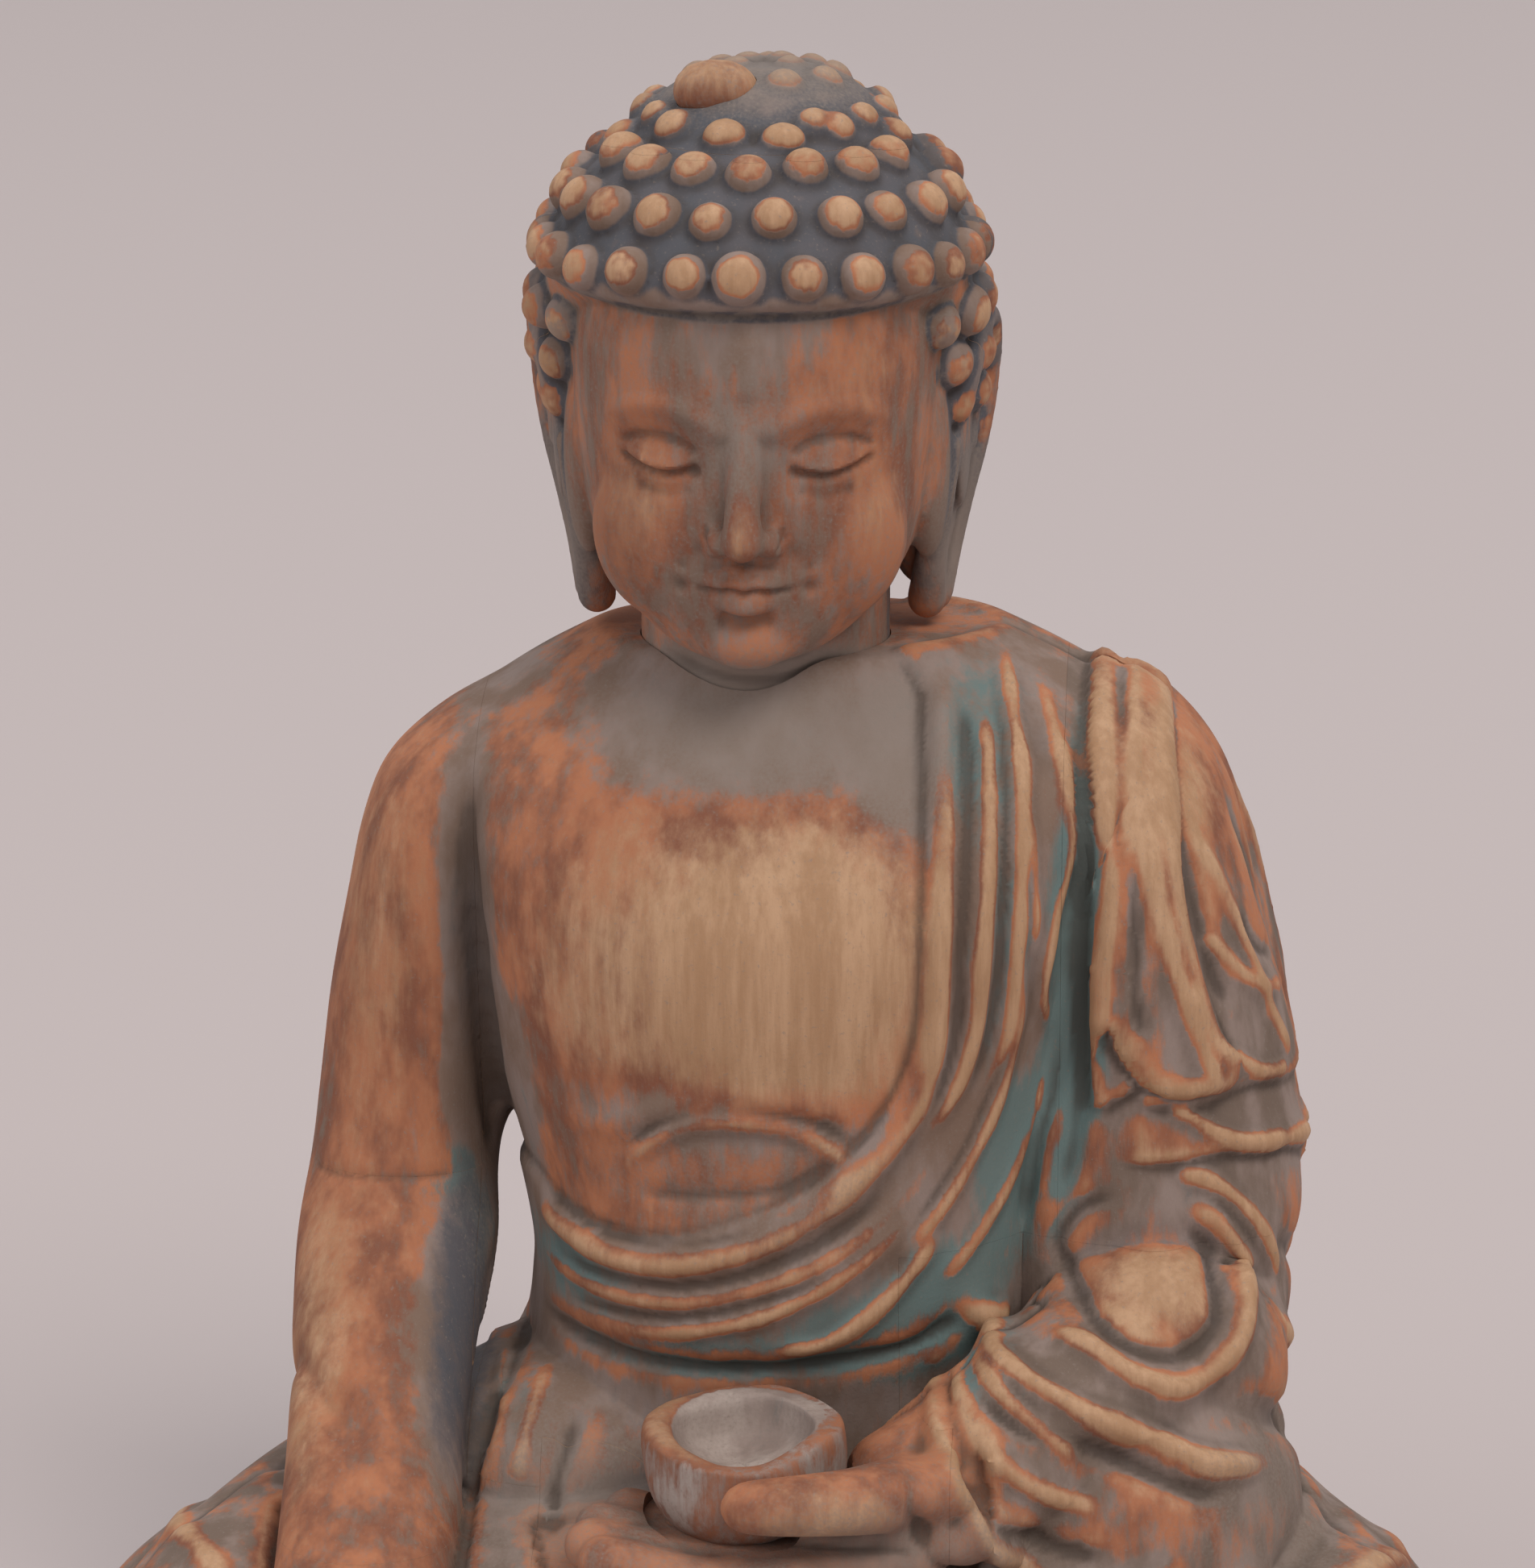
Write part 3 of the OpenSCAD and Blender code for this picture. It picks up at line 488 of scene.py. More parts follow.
folds += [
    # lap and skirt, front
    ("front", [(-4, 50), (-16, 44), (-34, 38), (-52, 34)], 3.6, -1.6, 0, (0.2, 0.2)),
    ("front", [(-2, 45), (-18, 36), (-36, 29), (-48, 26)], 3.4, 1.4, 0.6, (0.2, 0.2)),
    ("front", [(0, 38), (-16, 28), (-32, 20), (-46, 17)], 3.4, -1.5, 0, (0.2, 0.2)),
    ("front", [(2, 32), (-14, 21), (-30, 12), (-44, 8)], 3.2, 1.3, 0.6, (0.2, 0.2)),
    ("front", [(6, 48), (22, 42), (44, 37), (70, 36), (92, 32)], 3.8, -1.8, 0, (0.2, 0.2)),
    ("front", [(8, 42), (26, 34), (48, 29), (74, 27), (98, 22)], 3.6, 1.6, 0.6, (0.2, 0.2)),
    ("front", [(10, 36), (28, 26), (52, 20), (78, 17), (104, 14)], 3.6, -1.6, 0, (0.2, 0.2)),
    ("front", [(12, 30), (30, 18), (52, 11), (76, 8)], 3.2, 1.3, 0.6, (0.2, 0.2)),
    ("front", [(6, 52), (2, 42), (8, 31), (22, 22), (40, 14), (60, 8)], 3.4, -2.0, 0, (0.2, 0.2)),
    ("front", [(-6, 40), (-2, 30), (6, 22), (18, 14), (30, 8)], 3.0, 1.3, 0.5, (0.2, 0.2)),
    ("front", [(-12, 30), (-6, 20), (4, 12), (14, 7)], 3.0, -1.4, 0, (0.2, 0.2)),
    ("front", [(-92, 44), (-100, 34), (-106, 22), (-108, 10)], 3.4, -1.3, 0, (0.2, 0.2)),
    ("front", [(-84, 40), (-92, 28), (-97, 16)], 3.2, 1.2, 0.5, (0.2, 0.2)),
    # skirt beside the right wrist
    ("front", [(-41, 82), (-44, 77), (-46.5, 71), (-47.5, 61)], 2.4, -1.4, 0, (0.2, 0.2)),
    ("front", [(-30, 76), (-32, 69), (-33.5, 63), (-33, 57)], 2.2, -1.3, 0, (0.2, 0.2)),
    ("front", [(-36, 80), (-38.5, 72), (-40, 64)], 2.4, 1.1, 0.4, (0.2, 0.2)),
    # the knees from above
    ("top", [(-62, -58), (-74, -46), (-82, -30), (-84, -12)], 4.0, -1.5, 0, (0.2, 0.2)),
    ("top", [(-84, -62), (-95, -48), (-101, -30), (-100, -12)], 4.0, 1.4, 0.7, (0.2, 0.2)),
    ("top", [(80, -66), (92, -52), (98, -34), (96, -12)], 4.2, -1.6, 0, (0.2, 0.2)),
    ("top", [(90, -62), (103, -48), (109, -30), (106, -10)], 4.2, 1.4, 0.7, (0.2, 0.2)),
    # the back: the edge under the right shoulder blade, then folds from the left shoulder down to the right
    ("back", [(26, 198), (8, 191), (-12, 179), (-32, 161), (-44, 147)], 2.6, 1.5, 0.8, (0.1, 0.1)),
    ("back", [(34, 188), (14, 178), (-8, 163), (-28, 146), (-46, 130)], 3.4, -1.7, 0, (0.15, 0.1)),
    ("back", [(40, 180), (20, 168), (0, 152), (-22, 134), (-46, 116)], 3.2, 1.5, 0.6, (0.15, 0.1)),
    ("back", [(46, 172), (28, 156), (8, 138), (-16, 120), (-44, 104)], 3.6, -1.8, 0, (0.15, 0.1)),
    ("back", [(50, 158), (34, 140), (12, 122), (-14, 106), (-44, 92)], 3.2, 1.5, 0.6, (0.15, 0.1)),
    ("back", [(50, 138), (36, 122), (14, 106), (-12, 92), (-42, 80)], 3.6, -1.7, 0, (0.15, 0.1)),
    ("back", [(48, 116), (30, 102), (8, 90), (-18, 79), (-42, 70)], 3.2, 1.4, 0.5, (0.15, 0.15)),
    ("back", [(46, 98), (26, 86), (2, 76), (-26, 66)], 3.6, -1.5, 0, (0.15, 0.15)),
    ("back", [(-60, 40), (-30, 34), (0, 32), (34, 34), (66, 40)], 4.2, -1.7, 0, (0.15, 0.15)),
    ("back", [(-76, 28), (-36, 20), (0, 18), (38, 20), (80, 28)], 4.0, 1.3, 0.5, (0.15, 0.15)),
    # the left side of the sleeve and of the hip
    ("left", [(-24, 176), (-22, 158), (-20, 142), (-16, 132)], 2.6, 1.3, 0.8, (0.2, 0.15)),
    ("left", [(-10, 180), (-8, 160), (-6, 144), (-2, 131)], 2.8, -1.4, 0, (0.2, 0.1)),
    ("left", [(2, 178), (4, 158), (6, 142), (8, 133)], 2.6, 1.3, 0.7, (0.2, 0.15)),
    ("left", [(-30, 120), (-18, 119), (-6, 117), (8, 119), (22, 122)], 2.2, 1.1, 1.0, (0.1, 0.1)),
    ("left", [(-30, 104), (-16, 98), (-4, 88), (6, 76), (10, 62)], 3.2, -1.6, 0, (0.2, 0.15)),
    ("left", [(-40, 96), (-26, 86), (-12, 76), (-2, 62), (2, 52)], 3.2, 1.5, 0.7, (0.2, 0.15)),
    ("left", [(-52, 84), (-36, 74), (-22, 64), (-12, 52)], 3.4, -1.5, 0, (0.2, 0.15)),
    # breast, belly and armpit
    ("front", [(-38, 126), (-26, 125), (-14, 129.5), (0, 131.5), (12, 130), (22, 126)], 3.4, 1.0, 0.2,
     (0.3, 0.3)),
    ("front", [(-24, 117), (-19, 122), (-14, 125.8), (-7, 128), (0, 128), (7, 126.6), (13, 123.6),
               (15, 119.5)], 1.8, 1.1, 0.9, (0.2, 0.15)),
    ("front", [(-22, 121), (-15, 128), (-4, 131), (8, 129.5), (17, 124.5)], 1.8, -1.0, 0, (0.2, 0.2)),
    ("front", [(-26, 114), (-12, 114.5), (3, 116.5), (13, 121)], 2.0, -0.8, 0, (0.3, 0.2)),
    ("front", [(-47, 184), (-50, 172), (-49.5, 156), (-48.5, 140), (-47.5, 122), (-47, 108)], 3.4, -2.2, 0,
     (0.3, 0.1)),
    ("back", [(-46, 184), (-48, 170), (-48, 152), (-47, 132), (-47, 112)], 3.2, -2.0, 0, (0.3, 0.1)),
    ("back", [(52, 184), (53, 166), (53, 146), (52, 120), (52, 96), (52, 70)], 3.2, -1.8, 0, (0.3, 0.1)),
    # the left hand
    ("front", [(-1, 67), (10, 67.5), (22, 67), (31, 66)], 1.7, -1.2, 0, (0.15, 0.15)),
]
for view, curve, width, height, rub, fade in folds:
    carve(clay, view, curve, width, height, fade, rub)
carve(clay, "front", [(-80, 109.4), (-66, 110), (-50, 110.4)], 1.3, -0.6, (0.05, 0.2))
relax(clay, 2)
refresh(clay)
print("folds carved")


# the head is made upright about its own middle, then bowed forward
head = {
    "middle": (-2, -3, 232), "bow": 8, "voxel": 0.56, "knob": 4.45,
    "skull": [
        (-26, -7, 7, -30, -10, -18, 2.1), (-24, -13, 13, -35, 0, -17, 2.2),
              (-19, -20, 20, -37.4, 10, -14, 2.2),
        (-12, -25.5, 25.5, -38.4, 20, -8, 2.25), (-3, -28.6, 28.6, -38.6, 28, -4, 2.3),
        (7, -30.2, 30.2, -38.2, 32, -2, 2.3), (17, -31, 31, -37.6, 34, 0, 2.3),
              (27, -31, 31, -36.6, 35, 0, 2.25),
        (36, -29.6, 29.6, -34, 34, 1, 2.2), (45, -25.6, 25.6, -28, 30, 2, 2.1),
              (52, -19, 19, -20, 24, 3, 2.1),
        (56, -9, 9, -9, 13, 4, 2)],
    "hair": [
        (-22, -19, 19, 2, 26, 12, 2.2), (-12, -27, 27, -4, 33, 10, 2.2), (0, -32.5, 32.5, -8, 37.5, 8, 2.3),
        (12, -34.6, 34.6, -12, 39.6, 5, 2.3), (24, -35.6, 35.6, -18, 40.4, 2, 2.25),
             (33, -35.4, 35.4, -27, 40.2, 0, 2.2),
        (38, -34.6, 34.6, -37, 38.8, 0, 2.2), (45, -31.4, 31.4, -34, 35.4, 1, 2.15),
             (52, -24, 24, -25, 29, 2, 2.1),
        (57, -12, 12, -12, 16, 3, 2)],
    "topknot": [
        (280, -28, 24, -23, 30, 4, 2.2), (286, -25.4, 22, -20.5, 28, 4, 2.2),
                (291, -20.5, 17, -16, 23, 4, 2.1),
        (295, -14, 11, -10.5, 17, 4, 2.1), (297, -7, 5, -4, 10, 4, 2)],
}


def headPlace(point):
    # from the upright head to the bowed one
    a = math.radians(head["bow"])
    x, y, z = point
    cx, cy, cz = head["middle"]
    return cx + x, cy + y * math.cos(a) - z * math.sin(a), cz + z * math.cos(a) + y * math.sin(a)


bm = bmesh.new()
addMass(bm, head["hair"], sides=56)
hairTree = BVHTree.FromBMesh(bm)
knobs = []              # place, the way out, radius
for row, (rise, start) in enumerate(((38, 0), (50.5, 0), (63.5, 0), (76, 0), (25, 56), (12, 62), (-1, 84),
        (-14, 96),
                                     (-27, 118))):
    ringRadius = 42 * math.cos(math.radians(rise))
    count = max(6, round(2 * math.pi * ringRadius / 8.7))
    for k in range(count):
        turn = (k + 0.5 * (row % 2)) * 360 / count
        turn = turn - 360 if turn > 180 else turn
        if abs(turn) < start:
            continue
        wobble = noise.noise_vector(Vector((row * 3.1, k * 1.7, 0.5)))
        dip = 4 * ease(abs(turn) / 110)
        r, t = math.radians(rise - dip + 1.4 * wobble.x), math.radians(turn + 1.6 * wobble.y)
        way = Vector((math.sin(t) * math.cos(r), -math.cos(t) * math.cos(r), math.sin(r)))
        hit, out, _, _ = hairTree.ray_cast(Vector((0, 1, 14)), way)
        if hit is None:
            continue
        size = head["knob"] * (1 + 0.10 * wobble.z) * (0.92 if rise > 70 else 1)
        out = out if out.dot(way) > 0 else -out
        knobs.append((hit, way.lerp(out, 0.85).normalized(), size))
bm.free()

bm = bmesh.new()
addMass(bm, head["skull"], sides=56)
addMass(bm, head["hair"], sides=56)
for side in (-1, 1):
    # the ear: rim, inner rim, plate and long lobe
    rim = [(33.5, -4, 10, 2.2), (35.5, -2, 19, 2.4), (37, 4, 23.5, 2.4), (37.6, 10, 20, 2.6),
           (37.2, 12, 11, 2.7),
           (35.4, 10.5, 0, 2.7), (33, 8.6, -9, 2.8), (30.6, 7, -18, 3.2), (28.8, 4, -25.6, 3.5)]
    lobe = [(32, -4.4, 4, 2.2), (30.6, -5.4, -5, 2.4), (29, -4.6, -15, 2.7), (28, -1, -25, 3.4)]
    inner = [(34.6, 4, 17, 1.5), (35.2, 6.5, 10, 1.7), (34.6, 5, 1, 1.7)]
    for limb in (rim, lobe, inner):
        addLimb(bm, [(side * x, y, z, r) for x, y, z, r in limb], sides=14)
    addBall(bm, (side * 33.4, 4, 6), (1.9, 8, 16))
    addBall(bm, (side * 29.6, 2.5, -14), (1.9, 5, 12))
    addBall(bm, (side * 28.2, -7, 3), (4.2, 8, 18))             # from the cheek to the ear
    addBall(bm, (side * 26.5, 4, -6), (6.5, 7, 18))             # the bone behind the ear
    # cheek and side of the nose
    addBall(bm, (side * 13, -25.4, -4), (13, 10.6, 16), (0, side * 8, 0))
    addBall(bm, (side * 4.4, -38.6, -1.2), (2.9, 3.5, 2.7))
addLimb(bm, [(0, -35.8, 18, 2.8), (0, -38.2, 12, 2.8), (0, -41.2, 4.5, 3.1), (0, -42.4, 0.2, 3.6)],
        sides=18)
addLimb(bm, [(-8.6, -35.6, -9.6, 1.0), (-4, -38.6, -8.4, 1.9), (0, -39.2, -8.9, 1.9), (4, -38.6, -8.4, 1.9),
             (8.6, -35.6, -9.6, 1.0)])
addLimb(bm, [(-7.2, -35.9, -11, 1.0), (0, -38.6, -12.4, 2.3), (7.2, -35.9, -11, 1.0)])
addBall(bm, (0, -34.6, -20), (7.5, 4.4, 5))
ballBm = bmesh.new()
bmesh.ops.create_uvsphere(ballBm, u_segments=16, v_segments=12, radius=1)
ballMesh = asMesh(ballBm, "knob")


def addKnob(bm, at, way, size, flat):
    knob = ballMesh.copy()
    turned = way.to_track_quat("Z", "Y").to_matrix().to_4x4()
    knob.transform(Matrix.Translation(at) @ turned @ Matrix.Diagonal((size, size, size * flat, 1)))
    bm.from_mesh(knob)
    bpy.data.meshes.remove(knob)


for at, way, size in knobs:
    uneven = noise.noise_vector(at * 0.9)
    addKnob(bm, at + way * 0.4, way, size * (0.92 + 0.14 * uneven.x), 0.9 + 0.22 * uneven.y)
for v in bm.verts:
    v.co = headPlace(v.co)
topBm = bmesh.new()
addMass(topBm, head["topknot"], sides=40)
topTree = BVHTree.FromBMesh(topBm)
bm.from_mesh(asMesh(topBm, "topknotMass"))
for rise, count, size in ((8, 13, 3.6), (34, 9, 3.5), (62, 5, 3.3)):
    for k in range(count):
        wobble = noise.noise_vector(Vector((rise * 0.31, k * 1.9, 4.5)))
        t = math.radians((k + 0.5 * (rise == 34)) * 360 / count + 3 * wobble.x)
        r = math.radians(rise)
        way = Vector((math.sin(t) * math.cos(r), -math.cos(t) * math.cos(r), math.sin(r)))
        hit, out, _, _ = topTree.ray_cast(Vector((-2, 4, 286)) + way * 60, -way)
        if hit is None or (abs(hit.x + 9) < 9 and hit.y < -1 and hit.z > 288):
            continue
        addKnob(bm, hit - way * 1.2, way, size, 0.75)
neckBm = bmesh.new()
bmesh.ops.create_cone(neckBm, cap_ends=True, segments=64, radius1=21, radius2=21, depth=34,
                      matrix=Matrix.Translation((-1, -5, 201)))
bm.from_mesh(asMesh(neckBm, "neck"))
headClay = takeClay(voxelMesh(bm, head["voxel"]))
faceSide = headClay["co"][:, 1] < -20
faceSide &= (headClay["co"][:, 2] < 258) & (np.abs(headClay["co"][:, 0] + 2) < 27)
eased = spread(headClay, headClay["co"], 14)
headClay["co"][faceSide] = eased[faceSide]
relax(headClay, 3)
refresh(headClay)
print("head massed", len(headClay["co"]))


def press(clay, centre, size, amount):
    # pushes a soft oval of the head's skin along its normal; above 0 is outwards
    far = np.linalg.norm((clay["co"] - np.array(headPlace(centre))) / np.array(size), axis=1)
    clay["co"] += clay["normal"] * (amount * ease(1 - far))[:, None]


def faceLine(points):
    # a curve on the upright face, taken to the front view of the bowed head
    laid = []
    for x, z in points:
        spot3 = headPlace((x, -36, z))
        laid.append((spot3[0], spot3[2]))
    return laid


for side in (-1, 1):
    press(headClay, (side * 13.5, -35, 12.5), (11, 9, 7.5), -2.3)       # socket
    press(headClay, (side * 13.6, -34, 11.5), (8.2, 7, 5.4), 2.7)       # eyeball under its lids
    press(headClay, (side * 3.4, -41, -4.2), (2.0, 2.6, 1.5), -1.0)     # nostril
    press(headClay, (side * 7.6, -37, 9.5), (3, 5, 6), -0.8)            # between nose and eye
    press(headClay, (side * 10.5, -36, -9.6), (2.6, 4, 2.4), -0.9)      # corner of the mouth
refresh(headClay)
faceLines = [       # curve, half width, height
    ([(-3.2, 15), (-6, 18.4), (-12, 20.8), (-18.5, 20.4), (-24.5, 16.8)], 2.6, 0.9),
    ([(-6.8, 10.6), (-9.6, 9.8), (-13.6, 9.2), (-18, 10.4), (-21.6, 12.6)], 1.0, -1.3),
    ([(-7.4, 12.6), (-10, 14.6), (-14, 15.6), (-18, 15.2), (-21.8, 13.4)], 1.0, -0.7),
    ([(-7.8, 11.4), (-10, 10.9), (-13.6, 10.5), (-17.6, 11.6), (-20.6, 13)], 0.9, 0.45),
    ([(-8, 7.6), (-13, 5.8), (-18.6, 7.4)], 1.6, -0.5),
    ([(-5.6, 0.4), (-8.2, -3.6), (-11.4, -7.2)], 2.4, -0.6),
    ([(-5.8, 1.4), (-6.9, -1), (-5.6, -3.6)], 1.0, -0.8),
]
for curve, width, height in faceLines:
    for side in (-1, 1):
        carve(headClay, "front", faceLine([(side * x * -1, z) for x, z in curve]), width, height,
              (0.15, 0.15))
for curve, width, height in (
        ([(-9.6, -9.4), (-5, -10.3), (-2, -10), (0, -10.5), (2, -10), (5, -10.3), (9.6, -9.4)], 0.9, -1.3),
        ([(-8.6, -8.2), (-4, -6.9), (-1.6, -6.4), (0, -7), (1.6, -6.4), (4, -6.9), (8.6, -8.2)], 0.9, 0.45),
        ([(0, -4.4), (0, -6)], 1.3, -0.6),
        ([(-5.4, -15), (0, -15.6), (5.4, -15)], 2.2, -0.9),
        ([(0, 33), (0, 22)], 4, 0.3)):
    carve(headClay, "front", faceLine(curve), width, height, (0.15, 0.15))
for rise in (207, 203):
    carve(headClay, "front", [(-20, rise), (-10, rise - 3.4), (-2, rise - 4.4), (6, rise - 3.4),
            (16, rise)], 1.6, -0.9, (0.2, 0.2))
relax(headClay, 1)
refresh(headClay)
print("face carved")


# how the paint is worn: masks for bare wood, red ground, teal, blue and dust, and painted shade in the
# hollows
def hollows(clay, rounds, step):
    # above 0 on crests, below 0 in hollows
    return ((clay["co"] - spread(clay, clay["co"], rounds)) * clay["normal"]).sum(1) / step


fine = hollows(clay, 5, 0.12)
broad = hollows(clay, 30, 0.55)
robeShare = clay["robe"]
clay["wear"] *= 0.75
clay["wear"] += robeShare * (0.14 + 0.15 * np.clip(fine, -0.6, 1.4) + 0.30 * np.clip(broad, -0.8, 1.2))
clay["wear"] += (1 - robeShare) * (0.42 + 0.05 * np.clip(broad, -1, 1))
# painted shade: darker in fine creases and in broad hollows
clay["paintedshade"] += np.clip(-fine - 0.28, 0, 1.2) * 0.75 + np.clip(-broad - 0.32, 0, 1.5) * 0.7
bodyPatches = {     # by mask: softness, then place, size and amount of each
    "wear": (0.8, [((-2, -46, 151), (46, 46, 42), 0.46), ((9, -46, 158), (34, 34, 32), 0.34),
                   ((-30, -40, 152), (18, 30, 28), 0.10), ((-20, -46, 130), (20, 40, 10), -0.2),
                   ((-2, -40, 197), (46, 46, 22), -0.72), ((26, -30, 188), (14, 30, 22), -0.5),
                   ((-50, 0, 196), (20, 40, 10), -0.35), ((0, -46, 128), (34, 40, 9), -0.35),
                   # the wear taken off along the inside of the right arm, near x -50, darkens it as painted
                   # shade
                   ((0, -46, 119), (30, 40, 12), -0.12), ((-44, -20, 118), (9, 40, 40), -0.6),
                   ((-66, -20, 150), (15, 40, 46), 0.18), ((-70, -30, 100), (14, 50, 26), 0.1),
                   ((-76, -40, 80), (10, 40, 40), 0.25), ((-51, -30, 84), (9, 40, 40), -0.75),
                   ((-50, -12, 158), (8, 32, 40), -0.7), ((-51, -10, 128), (6, 30, 22), -0.6),
                   ((62, -22, 184), (24, 30, 20), 0.6), ((70, -20, 165), (18, 30, 22), 0.34),
                   ((66, -44, 100), (13, 24, 10), 0.75), ((67, -36, 122), (20, 30, 9), 0.25),
                   ((14, -86, 74), (18, 10, 9), 0.45), ((60, -60, 72), (40, 40, 34), 0.14),
                   ((0, -90, 30), (90, 40, 30), 0.1), ((-100, -60, 40), (40, 40, 30), 0.12),
                   ((100, -60, 40), (40, 40, 30), 0.15)]),
    "teal": (0.8, [((53, -30, 158), (7, 40, 52), 1.2), ((52, -30, 134), (8, 30, 16), 1.0),
                   ((45, -40, 118), (12, 30, 24), 1.0), ((36, -30, 190), (10, 30, 22), 0.55),
                   ((33, -46, 100), (16, 40, 12), 0.7), ((-34, -40, 98), (18, 40, 12), 0.6),
                   ((24, -50, 90), (26, 40, 12), 1.0), ((-8, -46, 86), (40, 40, 9), 0.45),
                   ((-56, -22, 111), (9, 30, 6), 0.9), ((-50, -20, 98), (5, 40, 16), 0.5),
                   ((40, -44, 158), (8, 30, 36), 0.35), ((30, 20, 150), (50, 40, 50), 0.35),
                   ((73, -12, 152), (6, 20, 12), 0.35), ((-40, -30, 70), (14, 30, 14), 0.3)]),
    "red": (0.9, [((-6, -46, 140), (30, 40, 18), 0.5), ((-10, -40, 176), (60, 50, 16), 0.35),
                  ((-66, -20, 140), (22, 50, 54), 0.35), ((64, -36, 118), (26, 30, 13), 0.9),
                  ((-68, -34, 92), (26, 50, 40), 0.3), ((50, -50, 150), (30, 40, 40), 0.15),
                  ((-2, -44, 120), (20, 30, 8), 0.4), ((50, -64, 66), (44, 50, 26), 0.35)]),
    "dust": (0.8, [((0, -38, 192), (44, 50, 16), 0.75), ((24, -30, 186), (12, 30, 24), 0.6),
                   ((0, -50, 118), (50, 40, 20), 0.25), ((0, -60, 62), (70, 60, 16), 0.5),
                   ((30, -70, 66), (24, 40, 22), 0.4), ((14, -86, 72), (22, 20, 12), 0.35),
                   ((-34, -50, 66), (20, 40, 20), 0.35), ((90, -50, 66), (30, 40, 26), 0.45),
                   ((-45, -20, 112), (8, 40, 50), 0.3)]),
    "blue": (0.8, [((-51, -30, 86), (8, 50, 42), 0.7), ((-50, -10, 150), (6, 30, 40), 0.3),
                   ((66, -40, 100), (24, 30, 18), 0.35), ((-24, -40, 66), (30, 40, 18), 0.3),
                   ((-30, -70, 48), (40, 30, 12), 0.4)]),
    # painted shade: more down the inside of the right arm and under the belly band, less in the left
    # sleeve's hollows
    "paintedshade": (0.9, [((-50, -20, 152), (8, 34, 46), 0.9), ((-50, -24, 118), (7, 30, 22), 0.5),
                   ((53, -30, 150), (6, 30, 50), -0.5), ((46, -40, 118), (8, 30, 20), -0.4),
                   ((0, -40, 80), (46, 30, 8), 0.25), ((44, -62, 80), (30, 40, 24), -0.2)]),
}
for mask, (soft, rows) in bodyPatches.items():
    for centre, size, amount in rows:
        spot(clay, mask, centre, size, amount, soft)

fine = hollows(headClay, 8, 0.10)
broad = hollows(headClay, 60, 0.55)
co = headClay["co"]
upright = co[:, 2] - 0.14 * (co[:, 1] + 3)
hairShare = ease((upright - 266.6) / 1.2)
beside = ease((34.5 - np.abs(co[:, 0] + 2) + np.clip(upright - 240, 0, 9)) / 2)
hairShare = np.maximum(hairShare, ease((co[:, 1] + 15) / 4) * ease((upright - 218) / 6) * beside)
for at, way, size in knobs:
    near = np.linalg.norm(co - np.array(headPlace(at + way * 0.3)), axis=1)
    hairShare = np.maximum(hairShare, ease((size * 1.12 - near) / 0.8))
headClay["robe"] = hairShare
chips = np.array([noise.noise(Vector(c) * 0.42) + 0.5 * noise.noise(Vector(c) * 1.1) for c in co])
headClay["co"] += headClay["normal"] * (0.5 * chips * hairShare)[:, None]
tips = np.zeros(len(co))
for k, (at, way, size) in enumerate(knobs):
    # the tops of the knobs are rubbed bare, most at the front
    middle = np.array(headPlace(at + way * 0.3))
    top = np.array(headPlace(at + way * (0.3 + size))) - middle
    top = top / np.linalg.norm(top) + np.array([0, -0.2, -0.08])
    top /= np.linalg.norm(top)
    away = co - middle
    near = np.linalg.norm(away, axis=1)
    lean = (away @ top) / np.maximum(near, 0.1)
    worn = (0.92 - 0.5 * ease((middle[1] + 10) / 45)) * (1 + 0.6 * noise.noise(Vector((k * 2.3, 1.5, 0))))
    worn *= (1 - 0.35 * ease((abs(middle[0] + 2) - 20) / 14)) * (1 - 0.35 * ease((middle[2] - 277) / 8))
    tips = np.maximum(tips, worn * ease((lean - 0.50) / 0.42) * ease((size * 1.25 - near) / 1.5))
ragged = np.array([noise.noise(Vector(c) * 0.8) for c in co]) * hairShare
tips = np.where(tips > 0.02, np.clip(tips + 0.32 * ragged, 0, 1.2), 0)
tips = np.maximum(tips, ease((co[:, 2] - 285) / 3) * np.clip(broad - 0.2, 0, 1) * 0.9)
headClay["wear"] += hairShare * (0.04 + tips + 0.1 * np.clip(broad, -1, 1)) + (1 - hairShare) * 0.36
